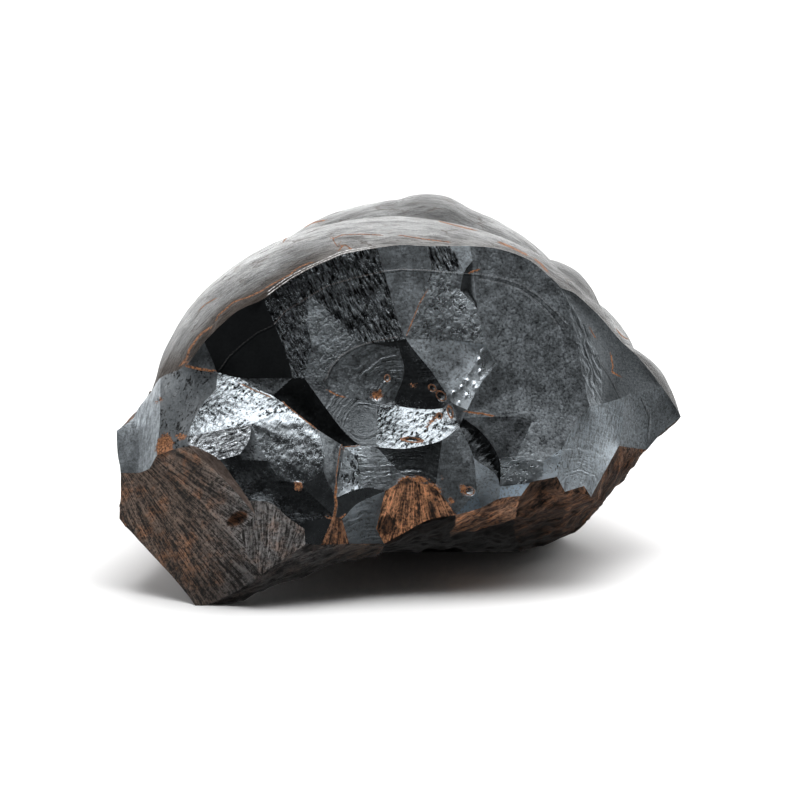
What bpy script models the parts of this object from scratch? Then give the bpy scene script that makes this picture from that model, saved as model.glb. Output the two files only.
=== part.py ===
"""Botryoidal hematite: one broken piece of kidney ore.

Rounded lobes of grown skin cover its top and back. The front is a break of many curved facets that
step out to a foot at the lower left, and the underside is rough and fibrous. It is one solid.
"""
import math

import bmesh
import bpy
import numpy as np
from mathutils import Vector, geometry, noise

# Driving sizes, in millimetres.
WIDTH = 113.0
REST_HEIGHT = 40.0
MESH_STEP = 2.6
EYE_DISTANCE = 700.0
EYE_ELEVATION = math.radians(15)
METRE = 0.001

# The front corners were read as picture columns and rows, and the stone is this wide in them.
LEFT_COLUMN, RIGHT_COLUMN = 117, 682
MIDDLE_COLUMN, MIDDLE_ROW = 400, 400
STEP = WIDTH / (RIGHT_COLUMN - LEFT_COLUMN)

# Rounded lobes of the grown skin: column, row and depth of the centre, then the half sizes across,
# up and deep, all but the centre's place in millimetres.
LOBES = {
    "main": (395, 408, 26, 49.8, 39.4, 33),
    "rear": (408, 366, 43, 39.5, 35, 27),
    "crown": (428, 275, 43, 15, 17, 19),
    "right shoulder": (545, 335, 30, 12.5, 15.6, 16),
    "right end": (600, 425, 32, 16.7, 17.8, 18),
    "rear left": (276, 405, 46, 25, 26, 21),
    "rear right": (528, 401, 47, 25.7, 25.7, 20),
}
CREASE_ROUNDING = 0.5

# The rim, where the break meets the skin, from the left end to the right: column, row and depth.
RIM = {
    "r01": (161, 379, 17), "r02": (187, 366, 10), "r03": (205, 343, 8), "r04": (226, 322, 6.8),
    "r05": (240, 311, 6.2), "r06": (264, 300, 5), "r07": (285, 285, 5), "r08": (308, 271, 5.6),
    "r09": (330, 261, 6.1), "r10": (345, 255, 6.7), "r11": (378, 249, 7.1), "r12": (402, 246, 7.7),
    "r13": (427, 247, 8), "r14": (452, 247, 9.2), "r15": (471, 247, 10), "r16": (500, 250, 11.5),
    "r17": (530, 261, 12.3), "r18": (550, 277, 12.4), "r19": (561, 288, 12.5),
    "r20": (575, 294, 13.8), "r21": (590, 307, 15.3), "r22": (603, 320, 17), "r23": (620, 340, 19),
    "r24": (640, 359, 21.5), "r25": (663, 388, 24.5), "r26": (676, 407, 27.5),
}

# Outer edge of the left block and its foot, and on along the underside to the right end: column,
# row and depth in millimetres.
OUTLINE = {
    "s01": (152, 392, 20), "s02": (135, 418, 12.5), "s03": (117, 432, 11), "s04": (118, 455, 9),
    "s05": (121, 474, 7.1), "s06": (120, 520, 7.7), "s07": (140, 542, 5.8), "s08": (172, 577, 2.7),
    "s09": (190, 599, 1), "s10": (196, 607, 0), "s11": (206, 607, 0), "s12": (240, 603, 2),
    "s13": (262, 592, 4), "s14": (297, 580, 7), "s15": (320, 571, 8), "s16": (350, 562, 9),
    "s17": (376, 558, 12), "s18": (382, 553.5, 34.7), "s19": (420, 553.5, 34.7),
    "s20": (470, 553.5, 34.7), "s21": (520, 553.5, 34.7), "s22": (545, 548, 34),
    "s23": (560, 541, 34), "s24": (575, 534, 33), "s25": (590, 520, 31), "s26": (600, 509, 30),
    "s27": (610, 493, 28), "s28": (630, 472, 27), "s29": (648, 451, 24), "s30": (662, 435, 26),
    "s31": (682, 418, 30),
    "v1": (450, 540, 22), "v2": (515, 522, 15), "v3": (566, 510, 12),
}

# Corners between the facets of the front break: column, row and a first depth in millimetres, which
# then settles so that each facet comes out nearly flat at its own tilt.
FRONT = {
    # Left block.
    "l01": (139, 440, 7.5), "l02": (139, 474, 5.1), "l03": (160, 430, 7), "l04": (157, 457, 2.9),
    "l05": (150, 470, 3.8), "l06": (200, 369, 9), "l07": (217, 373, 7.5), "l08": (217, 390, 5.3),
    "l09": (200, 410, 2.7), "l10": (188, 438, -1), "l11": (190, 447, -0.9), "l12": (175, 440, 1.5),
    "l14": (256, 389, 5.4), "l15": (285, 405, 3.3), "l16": (300, 417, 1.8), "l17": (275, 415, 2),
    "l18": (252, 425, 0.7), "l19": (250, 440, -1.5), "l20": (240, 456, -3.2), "l22": (220, 461, -3.6),
    "l23": (205, 452, -2.8), "l24": (215, 432, -0.2), "l25": (317, 430, 1), "l26": (325, 455, -0.8),
    "l27": (325, 475, -2.2), "l28": (300, 487, -3.5), "l29": (280, 481, -3.2), "l30": (268, 462, -2.2),
    "l31": (258, 442, -0.8), "l32": (243, 461, -3), "l35": (334, 516, -3.2), "l36": (310, 522, -3.4),
    "l37": (290, 520, -3.6), "l38": (271, 504, -3.8), "l39": (250, 502, -4.2), "l40": (236, 482, -4.2),
    "l42": (256, 516, -4.4), "l43": (228, 484, -4.6), "l45": (262, 576, -4), "l46": (305, 530, -3),
    "l47": (306, 545, -2), "l48": (285, 560, -3), "l49": (240, 535, -4.6), "l51": (235, 594, -2.5),
    # Middle.
    "c01": (275, 325, 4.6), "c02": (283, 345, 4.6), "c03": (290, 365, 4.8), "c04": (293, 379, 5),
    "c05": (240, 379, 6.7), "c08": (273, 397, 4.4), "c10": (309, 296, 6.2), "c11": (309, 330, 5.2),
    "c12": (312, 345, 5), "c13": (305, 379, 5), "c14": (330, 313, 6.3), "c15": (355, 342, 6.2),
    "c16": (340, 360, 5.8), "c17": (325, 378, 5.2), "c18": (390, 290, 7.6), "c19": (398, 318, 7),
    "c20": (407, 340, 6.5), "c21": (395, 342, 6.5), "c22": (370, 344, 6.2), "c23": (385, 352, 6.4),
    "c24": (393, 375, 6.8), "c26": (378, 406, 5.5), "c27": (377, 448, 1), "c28": (361, 446, 1.2),
    "c29": (345, 433, 2.5), "c30": (325, 407, 4), "c31": (418, 355, 6.5), "c32": (432, 372, 6.2),
    "c33": (448, 396, 5.4), "c34": (440, 410, 6), "c35": (403, 408, 6.5), "c36": (452, 403, 4.8),
    "c37": (395, 402, 7), "c38": (460, 427, 2.5), "c39": (443, 441, 0.8), "c40": (350, 545, -1),
    "c41": (385, 545, 3), "c42": (418, 448, 0.6), "c43": (400, 450, 0.6), "c44": (345, 448, 0.8),
    # Right.
    "c50": (432, 271, 7.6), "c51": (422, 295, 6.6), "c52": (413, 322, 6), "c53": (465, 273, 8.6),
    "c54": (473, 262, 9.5), "c55": (479, 312, 7.4), "c56": (487, 346, 6.4), "c57": (455, 342, 6.2),
    "c58": (477, 299, 8), "c59": (461, 291, 9.4), "c60": (480, 352, 6), "c61": (470, 375, 4.8),
    "c63": (497, 366, 5.6), "c64": (480, 387, 4), "c65": (468, 411, 3), "c67": (574, 330, 10.5),
    "c68": (590, 408, 9), "c69": (578, 422, 7.5), "c70": (533, 423, 4.8), "c71": (522, 418, 4.4),
    "c72": (464, 419, 3), "c73": (580, 318, 12), "c74": (601, 362, 13), "c75": (603, 405, 12),
    "c76": (632, 394, 17.5), "c77": (625, 398, 16), "c78": (620, 447, 14), "c79": (624, 420, 15.5),
    "c80": (610, 465, 11), "c81": (592, 498, 7.5), "c82": (585, 487, 7), "c83": (566, 493, 5),
    "c84": (558, 478, 4.5), "c85": (565, 447, 5), "c86": (545, 462, 2.8), "c87": (517, 458, 1.8),
    "c88": (500, 460, 1.6), "c89": (483, 434, 2.4), "c90": (501, 488, 1.8), "c91": (496, 475, 1.6),
    "c92": (474, 458, 1.2), "c93": (478, 492, 1), "c94": (457, 516, 3), "c95": (436, 490, 0),
    "c96": (482, 509, 2.2), "c98": (408, 479, -0.5), "c100": (386, 492, -1), "c101": (364, 489, -1.5),
    "c102": (359, 460, -0.5), "c103": (336, 499, -2.5), "c104": (358, 505, -1.3),
    "c105": (343, 521, -2.2), "c107": (377, 530, 1), "c109": (430, 521, 3), "c110": (405, 534, 3),
    "c112": (322, 546, -1.5), "c113": (531, 484, 2.4), "c115": (543, 481, 2.6),
    "c116": (522, 497, 2.4), "c117": (500, 500, 2),
}

# Corners that the front doesn't show, in millimetres from the middle of the resting face: x, y, z.
BEHIND = {
    "g2": (34, 36, 0), "g3": (31, 49, 0), "g4": (8, 56, 0), "g5": (-15, 51, 0), "g6": (-15, 36, 0),
    "k1": (55, 37, 30), "k2": (46, 49, 26), "k3": (26, 60, 22), "k4": (0, 67, 22),
    "k5": (-24, 62, 24), "k6": (-44, 50, 26), "k7": (-50, 36, 30),
    "m1": (-50, 27, 14), "m2": (-38, 20, 4), "m3": (-26, 12, 2.5), "m4": (48, 36, 14),
}

# Facets of the front break: a name, how far the face turns right and up from the line of sight, in
# degrees, how deep its middle is hollowed, how rough it is, both in millimetres, and its corners.
BREAK = [
    ("left end", -35, 5, 0, 0, "s03 s02 l01 l02 s05 s04"),
    ("left end inner", -45, 15, 0, 0, "s02 s01 r01 l03 l04 l05 l02 l01"),
    ("left shoulder", -25, 15, 0.3, 0, "r01 r02 l06 l07 l08 l09 l10 l12 l03"),
    ("left rust", -25, 10, 0, 0.4, "l03 l12 l10 l11 l04"),
    ("left top corner", -30, 10, 0, 0, "r02 r03 l07 l06"),
    ("left mirror", -8, -1, 0.4, 0, "r03 r04 r05 r06 c01 c02 c03 c04 c05 l07"),
    ("left lens", -5, 10, 0.1, 0, "c05 c04 c08 l14"),
    ("left ledge", -2, 34, 0, 0, "l07 c05 l14 c08 l15 l16 l17 l18 l24 l10 l09 l08"),
    ("left shell", -5, 30, 0.4, 0, "l10 l24 l18 l19 l20 l22 l23 l11"),
    ("left scallop", 4, 24, -0.3, 0, "l18 l17 l16 l25 l26 l27 l28 l29 l30 l31"),
    ("left chip", 12, 14, 0, 0, "l18 l31 l30 l32 l20 l19"),
    ("left dark hollow", 3, 0, 0.4, 0, "l22 l20 l32 l30 l29 l28 l35 l36 l37 l38 l39 l40"),
    ("left dark wedge", -3, -2, 0, 0, "l28 l27 c103 l35"),
    ("left strip", -8, -6, 0, 0, "l11 l23 l22 l40 l39 l42 l43"),
    ("left fibrous face", -30, -3, 0, 0.2,
     "s05 l02 l05 l04 l11 l43 l42 l49 "
     "l45 l51 s11 s10 s09 s08 s07 s06"),
    ("left lower face", 0, -10, 0, 0.3, "l42 l39 l38 l37 l46 l47 l48 l45 l49"),
    ("foot bevel", 15, -60, 0, 0.6, "s11 l51 l45 l48 l47 c112 c40 c41 s17 s16 s15 s14 s13 s12"),
    ("small black", 8, 2, 0, 0, "l36 l35 c112 l47 l46 l37"),
    ("small fan", -12, -8, 0, 0, "l35 c105 c40 c112"),
    ("grainy strip", -10, 4, 0.2, 0, "r06 r07 r08 c10 c11 c12 c13 c04 c03 c02 c01"),
    ("grey wedge", 8, 14, 0, 0, "c10 c14 c15 c16 c17 c13 c12 c11"),
    ("streaked wedge", 3, 0, 0.3, 0, "r08 r09 r10 r11 c18 c19 c20 c21 c22 c15 c14 c10"),
    ("ringed face", -3, 16, 0.2, 0, "c13 c17 c16 c15 c22 c23 c24 c37 c26 c27 c28 c29 c30"),
    ("dark recess", 0, -6, 0.6, 0, "c22 c21 c20 c31 c32 c33 c36 c34 c35 c37 c24 c23"),
    ("bright ledge", -2, 36, 0.2, 0, "c26 c37 c35 c34 c36 c38 c39 c42 c43 c27"),
    ("black band", -8, 10, 0.2, 0, "c04 c13 c30 c29 c28 c44 l25 l16 l15 c08"),
    ("blue splinter", -20, 4, 0, 0, "l25 c44 c103 l27 l26"),
    ("white splinter", 0, 32, 0, 0, "c44 c28 c102"),
    ("small shell", 14, 10, 0.2, 0, "c44 c102 c101 c103"),
    ("striped face", 4, 14, 0, 0, "c28 c27 c98 c100 c101 c102"),
    ("banded face", 0, -4, 0.2, 0, "c27 c43 c42 c39 c95 c98"),
    ("dark strip", 0, 0, 0.1, 0, "c103 c101 c100 c104 c105 l35"),
    ("ringed lens", 12, 2, -0.2, 0, "c105 c104 c100 c107 c41 c40"),
    ("orange fan", 0, -12, -0.2, 0, "c100 c98 c95 c94 c109 c110 c107"),
    ("orange corner", 10, -10, 0, 0, "c107 c110 c41"),
    ("top satin", -3, 12, 0.1, 0, "r11 r12 r13 c50 c51 c52 c20 c19 c18"),
    ("top streak", 18, 0, 0, 0, "r13 r14 c53 c50"),
    ("top chip", -8, 15, 0, 0, "r14 r15 c54 c53"),
    ("top pit", 0, 0, 0.5, 0, "c53 c54 c58 c55 c59"),
    ("sparkling face", -12, 10, -0.1, 0, "c50 c53 c59 c55 c56 c57 c20 c52 c51"),
    ("pale face", 10, 16, 0.1, 0, "c20 c57 c60 c61 c33 c32 c31"),
    ("crown splinter", 0, 20, 0, 0, "c57 c56 c60"),
    ("glinting strip", -16, 26, 0, 0, "c60 c56 c63 c64 c65 c36 c33 c61"),
    ("large face", 12, 13, 0.5, 0,
     "r15 r16 r17 r18 r19 c67 c68 c69 c70 "
     "c71 c72 c65 c64 c63 c56 c55 c58 c54"),
    ("stepped strip", 30, 8, 0, 0, "r19 c73 c74 c75 c68 c67"),
    ("right face", 32, 14, 0.2, 0, "r19 r20 r21 r22 r23 r24 r25 c76 c77 c75 c74 c73"),
    ("right end face", 38, 4, 0.1, 0, "c76 r25 r26 s31 s30 s29 c78 c79 c77"),
    ("brushed face", 22, 20, 0.2, 0, "c68 c75 c77 c79 c78 c80 c81 c82 c83 c84 c85 c69"),
    ("pale blue face", 10, 26, 0, 0, "c70 c69 c85 c86 c87"),
    ("middle grey", 0, 12, 0, 0, "c72 c71 c70 c87 c88 c89"),
    ("black crescent", -6, 2, 0.4, 0, "c38 c72 c89 c88 c90 c91 c92"),
    ("ledge end", -5, 10, 0.1, 0, "c36 c65 c72 c38"),
    ("lower grey", -5, 6, 0.1, 0, "c39 c38 c92 c93 c94 c95"),
    ("lower blue", 14, -12, 0, 0, "c92 c91 c90 c117 c96 c93"),
    ("lower splinter", 0, -20, 0, 0, "c93 c96 c94"),
    ("mottled bits", 5, 4, 0, 0.3, "c88 c87 c86 c115 c113 c90"),
    ("mottled end", 10, 16, 0, 0, "c86 c85 c84 c115"),
    ("blue chip", 8, 22, 0, 0, "c90 c113 c116 c117"),
]

# The rest of the broken faces: a name, the hollow, the roughness and the corners.
UNDERSIDE = [
    ("foot notch", 0, 0.6, "c41 s18 s17"),
    ("belly front left", 0, 1, "c41 c110 c109 c94 v1 s19 s18"),
    ("belly front", 0, 1, "c94 c96 c117 c116 v2 v1"),
    ("belly low", 0, 1, "v1 v2 s21 s20 s19"),
    ("belly right", 0, 1, "c116 c113 c115 c84 c83 v3 v2"),
    ("belly low right", 0, 1, "v2 v3 s23 s22 s21"),
    ("belly side", 0, 1, "v3 c83 c82 c81 s26 s25 s24 s23"),
    ("right underside", 0, 0.8, "c81 c80 c78 s29 s28 s27 s26"),
    ("resting face", 0, 0, "s18 s19 s20 s21 g2 g3 g4 g5 g6"),
    ("left top back", 0, 0.8, "s01 s02 s03 k7"),
    ("left side", 0.6, 1.2, "s03 s04 s05 s06 m1 k7"),
    ("left low side", 0, 1.2, "s06 s07 s08 m2 m1"),
    ("sole", 0, 0.6, "s08 s09 s10 s11 s12 s13 m3 m2"),
    ("sole inner", 0, 0.8, "s13 s14 s15 s16 s17 s18 g6 m3"),
    ("low back left", 0, 1.2, "m2 m3 g6 g5"),
    ("back left", 0, 1.8, "m1 m2 g5 k6 k7"),
    ("back left corner", 0, 1.8, "g5 k5 k6"),
    ("back", 0, 1.8, "g5 g4 k4 k5"),
    ("back right", 0, 1.8, "g4 g3 k3 k4"),
    ("right back", 0, 1.8, "g3 g2 k2 k3"),
    ("right low side", 0, 1.2, "s21 s22 s23 s24 m4 g2"),
    ("right side", 0, 1.2, "s24 s25 s26 s27 s28 m4"),
    ("right upper side", 0, 1.2, "s28 s29 s30 s31 k1 k2 m4"),
    ("right rear", 0, 1.6, "g2 m4 k2"),
]

# The skin is closed by the rim and by the upper edge of the rough back. Its points are laid out by
# their angle about an axis through the stone's heart, both in world millimetres.
SKIN_EDGE = ["s01"] + list(RIM) + ["s31"] + ["k" + str(number) for number in range(1, 8)]
SKIN_HEART = (0, 34, 24)
SKIN_AXIS = (0, 0.55, 0.83)
SKIN_STEP = 0.06
# Angle over which the lobes give way to the corners that were read from the picture.
MEND_REACH = 0.12

# Points inside a facet keep this share of a step from its edge.
EDGE_CLEARANCE = 0.6
# Size of the lumps on rough faces, in millimetres.
ROUGH_GRAIN = 7.0
# Creases between facets are sharp from this turn on.
SHARP_ANGLE = math.radians(25)

# How strongly a corner keeps its first depth and a facet its tilt, against being flat, and the
# length in millimetres over which a tilt is measured.
HINT_WEIGHT, TILT_WEIGHT = 0.8, 1.5
TILT_LENGTH = 10


def view_frame(column, row, depth):
    """World place of a point seen at a column and a row, this deep behind the foot's tip."""
    spread = STEP * (1 + depth / EYE_DISTANCE)
    across = (column - MIDDLE_COLUMN) * spread
    up = (MIDDLE_ROW - row) * spread
    back = depth * math.cos(EYE_ELEVATION) + up * math.sin(EYE_ELEVATION)
    high = REST_HEIGHT - depth * math.sin(EYE_ELEVATION) + up * math.cos(EYE_ELEVATION)
    return np.array((across, back, high))


def lobe_shapes():
    """Centre and world-to-unit-sphere matrix of each lobe, whose axes lean back with the view."""
    lean = np.array((
        (1, 0, 0),
        (0, math.sin(EYE_ELEVATION), math.cos(EYE_ELEVATION)),
        (0, math.cos(EYE_ELEVATION), -math.sin(EYE_ELEVATION)),
    ))
    shapes = []
    for column, row, depth, wide, high, deep in LOBES.values():
        shapes.append((view_frame(column, row, depth), lean / np.array((wide, high, deep))[:, None]))
    return shapes


def reach(start, directions, shapes):
    """Distance from a start inside the lobes along each direction to the skin."""
    hits = []
    for centre, to_unit in shapes:
        origin = to_unit @ (start - centre)
        ray = directions @ to_unit.T
        a = (ray * ray).sum(axis=1)
        b = ray @ origin
        inside = b * b - a * (origin @ origin - 1)
        hits.append(np.where(inside > 0, (-b + np.sqrt(np.maximum(inside, 0))) / a, 0.0))
    hits = np.array(hits)
    most = hits.max(axis=0)
    return most + CREASE_ROUNDING * np.log(np.exp((hits - most) / CREASE_ROUNDING).sum(axis=0))


def settled(fixed):
    """The front corners with the depths that best keep every facet flat and at its tilt."""
    names = list(FRONT)
    places = {**fixed, **FRONT}
    column_of = {name: number for number, name in enumerate(names)}
    size = len(names) + 3 * len(BREAK)
    rows, sums = [], []

    def ask(terms, total, weight):
        row = np.zeros(size)
        for at, factor in terms:
            row[at] += factor * weight
        rows.append(row)
        sums.append(total * weight)

    for name in names:
        ask([(column_of[name], 1)], places[name][2], HINT_WEIGHT)
    for number, (_, right, up, _, _, corners) in enumerate(BREAK):
        level = len(names) + 3 * number
        for name in corners.split():
            column, row, depth = places[name]
            across, high = (column - MIDDLE_COLUMN) * STEP, (MIDDLE_ROW - row) * STEP
            plane = [
                (level, -1),
                (level + 1, -across / TILT_LENGTH),
                (level + 2, -high / TILT_LENGTH),
            ]
            if name in column_of:
                ask(plane + [(column_of[name], 1)], 0, 1)
            else:
                ask(plane, -depth, 1)
        ask([(level + 1, 1)], TILT_LENGTH * math.tan(math.radians(right)), TILT_WEIGHT)
        ask([(level + 2, 1)], TILT_LENGTH * math.tan(math.radians(up)), TILT_WEIGHT)
    found = np.linalg.lstsq(np.array(rows), np.array(sums), rcond=None)[0]
    return {name: (*FRONT[name][:2], found[column_of[name]]) for name in names}


def all_corners():
    """World place of every named corner."""
    fixed = {**OUTLINE, **RIM}
    corners = {name: view_frame(*place) for name, place in {**fixed, **settled(fixed)}.items()}
    corners.update({name: np.array(place, float) for name, place in BEHIND.items()})
    return corners


class Shell:
    """Points and triangles of the growing solid. Facets that share an edge share its points."""

    def __init__(self, corners):
        self.points = []
        self.roughness = []
        self.triangles = []
        self.edges = {}
        self.index = {name: self.add(place) for name, place in corners.items()}

    def add(self, place):
        self.points.append(np.array(place, float))
        self.roughness.append(math.inf)
        return len(self.points) - 1

    def edge(self, first, last):
        """Indices from one corner up to, but without, the next."""
        key = tuple(sorted((first, last)))
        if key not in self.edges:
            start, end = self.points[self.index[key[0]]], self.points[self.index[key[1]]]
            pieces = max(1, round(np.linalg.norm(end - start) / MESH_STEP))
            inner = [self.add(start + (end - start) * i / pieces) for i in range(1, pieces)]
            self.edges[key] = [self.index[key[0]]] + inner + [self.index[key[1]]]
        run = self.edges[key]
        return run[:-1] if key[0] == first else run[:0:-1]

    def loop(self, names):
        return [i for a, b in zip(names, names[1:] + names[:1]) for i in self.edge(a, b)]


def inner_grid(outline, step):
    """Points of a triangular grid inside a flat outline, and their distance to it."""
    low, high = outline.min(axis=0), outline.max(axis=0)
    rows = np.arange(low[1], high[1], step * math.sqrt(0.75))
    places = [
        (x, y)
        for number, y in enumerate(rows)
        for x in np.arange(low[0] + step / 2 * (number % 2), high[0], step)
    ]
    if not places:
        return np.zeros((0, 2)), np.zeros(0)
    places = np.array(places)
    starts, ends = outline, np.roll(outline, -1, axis=0)
    crossed = (starts[:, 1] > places[:, 1:]) != (ends[:, 1] > places[:, 1:])
    rise = np.where(ends[:, 1] == starts[:, 1], 1e-9, ends[:, 1] - starts[:, 1])
    at = starts[:, 0] + (places[:, 1:] - starts[:, 1]) * (ends[:, 0] - starts[:, 0]) / rise
    odd = (crossed & (places[:, :1] < at)).sum(axis=1) % 2 == 1
    along = ends - starts
    share = ((places[:, None] - starts) * along).sum(axis=2) / (along * along).sum(axis=1)
    nearest = starts + np.clip(share, 0, 1)[..., None] * along
    away = np.linalg.norm(places[:, None] - nearest, axis=2).min(axis=1)
    kept = odd & (away > EDGE_CLEARANCE * step)
    return places[kept], away[kept]


def spread_inwards(places, outline, values):
    """Mean value interpolation of the outline's values at the places inside it."""
    spokes = outline[None] - places[:, None]
    length = np.linalg.norm(spokes, axis=2)
    following = np.roll(spokes, -1, axis=1)
    cross = spokes[..., 0] * following[..., 1] - spokes[..., 1] * following[..., 0]
    dot = (spokes * following).sum(axis=2)
    half_tangent = np.tan(np.arctan2(cross, dot) / 2)
    weight = (half_tangent + np.roll(half_tangent, 1, axis=1)) / length
    return (weight @ values) / weight.sum(axis=1)[:, None]


def fill(shell, loop, flat, places, inner_points, roughness):
    """Triangles between a loop's flat outline and the flat places inside it."""
    inner = [shell.add(point) for point in inner_points]
    count = len(loop)
    ends = [(i, (i + 1) % count) for i in range(count)]
    flat_all = [Vector(place) for place in flat] + [Vector(place) for place in places]
    found = geometry.delaunay_2d_cdt(flat_all, ends, [], 1, 1e-6)
    corner_of = [sources[0] for sources in found[3]]
    name_of = list(loop) + inner
    for triangle in found[2]:
        shell.triangles.append(tuple(name_of[corner_of[i]] for i in triangle))
    for i in name_of:
        shell.roughness[i] = min(shell.roughness[i], roughness)


def add_facet(shell, hollow, roughness, names):
    """One face of the break over its corners, curved as its edges ask and hollowed in its middle."""
    loop = shell.loop(names)
    rim = np.array([shell.points[i] for i in loop])
    middle = rim.mean(axis=0)
    following = np.roll(rim, -1, axis=0)
    normal = np.cross(rim - middle, following - middle).sum(axis=0)
    normal /= np.linalg.norm(normal)
    across = rim[0] - middle
    across -= normal * (across @ normal)
    across /= np.linalg.norm(across)
    axes = np.array((across, np.cross(normal, across)))
    flat = (rim - middle) @ axes.T
    places, away = inner_grid(flat, MESH_STEP)
    inner_points = []
    if len(places):
        height = spread_inwards(places, flat, ((rim - middle) @ normal)[:, None])[:, 0]
        # The facets run clockwise as seen from outside, so their normals point into the stone.
        height += hollow * (1 - (1 - away / away.max()) ** 2)
        inner_points = middle + places @ axes + height[:, None] * normal
    fill(shell, loop, flat, places, inner_points, roughness)


def add_skin(shell, shapes):
    """The grown skin over the lobes, joined to the break's edge all round."""
    loop = shell.loop(SKIN_EDGE)
    heart = np.array(SKIN_HEART, float)
    axis = np.array(SKIN_AXIS) / np.linalg.norm(SKIN_AXIS)
    side = np.array((1.0, 0, 0))
    frame = np.array((side, np.cross(axis, side), axis))
    spokes = np.array([shell.points[i] for i in loop]) - heart
    length = np.linalg.norm(spokes, axis=1)
    turned = (spokes / length[:, None]) @ frame.T
    tilt = np.arccos(np.clip(turned[:, 2], -1, 1))
    flat = turned[:, :2] / np.linalg.norm(turned[:, :2], axis=1)[:, None] * tilt[:, None]
    places, away = inner_grid(flat, SKIN_STEP)
    tilt = np.linalg.norm(places, axis=1)
    sideways = places / np.maximum(tilt, 1e-9)[:, None] * np.sin(tilt)[:, None]
    directions = np.column_stack((sideways, np.cos(tilt))) @ frame
    miss = (length - reach(heart, spokes / length[:, None], shapes))[:, None]
    mend = spread_inwards(places, flat, miss)[:, 0] * np.exp(-away / MEND_REACH)
    far = reach(heart, directions, shapes) + mend
    fill(shell, loop, flat, places, heart + directions * far[:, None], 0)


def roughen(shell):
    """The points, moved by a smooth noise as far as their smoothest facet allows."""
    points = np.array(shell.points)
    for i, amount in enumerate(shell.roughness):
        if amount and math.isfinite(amount):
            points[i] += amount * np.array(noise.noise_vector(Vector(points[i] / ROUGH_GRAIN)))
    return points


def stand(points):
    """Middle of the footprint's box at the origin, and nothing below the surface it rests on."""
    low, high = points.min(axis=0), points.max(axis=0)
    points[:, :2] -= (low[:2] + high[:2]) / 2
    points[:, 2] = np.maximum(points[:, 2], 0)
    return points


def build_hematite():
    """The whole stone as one closed mesh."""
    shapes = lobe_shapes()
    shell = Shell(all_corners())
    for _, _, _, hollow, roughness, names in BREAK:
        add_facet(shell, hollow, roughness, names.split())
    for _, hollow, roughness, names in UNDERSIDE:
        add_facet(shell, hollow, roughness, names.split())
    add_skin(shell, shapes)
    points = stand(roughen(shell))
    mesh = bpy.data.meshes.new("hematite")
    mesh.from_pydata([tuple(point * METRE) for point in points], [], shell.triangles)
    body = bmesh.new()
    body.from_mesh(mesh)
    bmesh.ops.recalc_face_normals(body, faces=body.faces)
    body.to_mesh(mesh)
    body.free()
    return mesh


def hematite_material():
    material = bpy.data.materials.new("hematite")
    material.use_nodes = True
    shader = material.node_tree.nodes["Principled BSDF"]
    shader.inputs["Base Color"].default_value = (0.07, 0.075, 0.08, 1)
    shader.inputs["Roughness"].default_value = 0.3
    shader.inputs["Metallic"].default_value = 0.85
    return material


def main():
    for old in list(bpy.data.objects):
        bpy.data.objects.remove(old)
    mesh = build_hematite()
    mesh.materials.append(hematite_material())
    mesh.shade_smooth()
    mesh.set_sharp_from_angle(angle=SHARP_ANGLE)
    hematite = bpy.data.objects.new("hematite", mesh)
    bpy.context.scene.collection.objects.link(hematite)


main()
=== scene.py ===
"""Looks of one piece of botryoidal hematite, also called kidney ore.

The stone is one closed mesh. Its front is a break of many curved facets, each with its own grain
and finish. Rounded lobes of grown skin cover the top and the back, and the underside is rough.
"""
import math
from collections import namedtuple
from functools import cached_property

import bpy
import numpy as np
from mathutils import Matrix, Vector, geometry


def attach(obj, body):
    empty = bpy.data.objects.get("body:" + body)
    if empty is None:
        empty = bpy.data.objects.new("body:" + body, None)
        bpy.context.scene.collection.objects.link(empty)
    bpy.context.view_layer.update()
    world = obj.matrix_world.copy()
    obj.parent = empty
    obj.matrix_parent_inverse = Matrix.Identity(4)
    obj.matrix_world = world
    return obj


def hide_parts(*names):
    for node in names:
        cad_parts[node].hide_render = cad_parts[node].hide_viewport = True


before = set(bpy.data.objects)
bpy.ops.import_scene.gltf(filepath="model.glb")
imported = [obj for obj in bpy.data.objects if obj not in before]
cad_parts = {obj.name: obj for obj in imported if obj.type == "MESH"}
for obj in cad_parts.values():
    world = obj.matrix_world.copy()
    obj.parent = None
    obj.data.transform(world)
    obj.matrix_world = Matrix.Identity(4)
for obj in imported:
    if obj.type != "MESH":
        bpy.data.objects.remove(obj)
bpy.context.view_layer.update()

# Driving sizes, in millimetres.
WIDTH = 113.0
REST_HEIGHT = 40.0
EYE_DISTANCE = 700.0
EYE_ELEVATION = math.radians(15)
# One of them in metres.
MILLIMETRE = 0.001
# Length of the triangles' sides on the break, where its relief is fine, on the faces that show from
# the front below it, and on those that don't.
BREAK_STEP, FINE_STEP, BELLY_STEP, HIDDEN_STEP = 0.45, 0.25, 0.6, 1.3
# The skin's triangles, in radians about the stone's heart.
SKIN_STEP = 0.0165

# The front corners were read as picture columns and rows. The stone's tips give the size of one.
LEFT_COLUMN, RIGHT_COLUMN = 117, 682
MIDDLE_COLUMN, MIDDLE_ROW = 400, 400
MIDDLE = np.array((MIDDLE_COLUMN, MIDDLE_ROW))
PICTURE_SIDE = 800
STEP = WIDTH / (RIGHT_COLUMN - LEFT_COLUMN)

# Rounded lobes of the grown skin: column, row and depth of the centre, then the half sizes across,
# up and deep. All but the column and the row are in millimetres.
LOBES = {
    "main": (395, 408, 26, 49.8, 39.4, 33),
    "rear": (408, 366, 43, 39.5, 35, 27),
    "crown": (428, 275, 43, 15, 17, 19),
    "right shoulder": (545, 335, 30, 12.5, 15.6, 16),
    "right end": (600, 425, 32, 16.7, 17.8, 18),
    "rear left": (276, 405, 46, 25, 26, 21),
    "rear right": (528, 401, 47, 25.7, 25.7, 20),
}
CREASE_ROUNDING = 0.3

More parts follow.
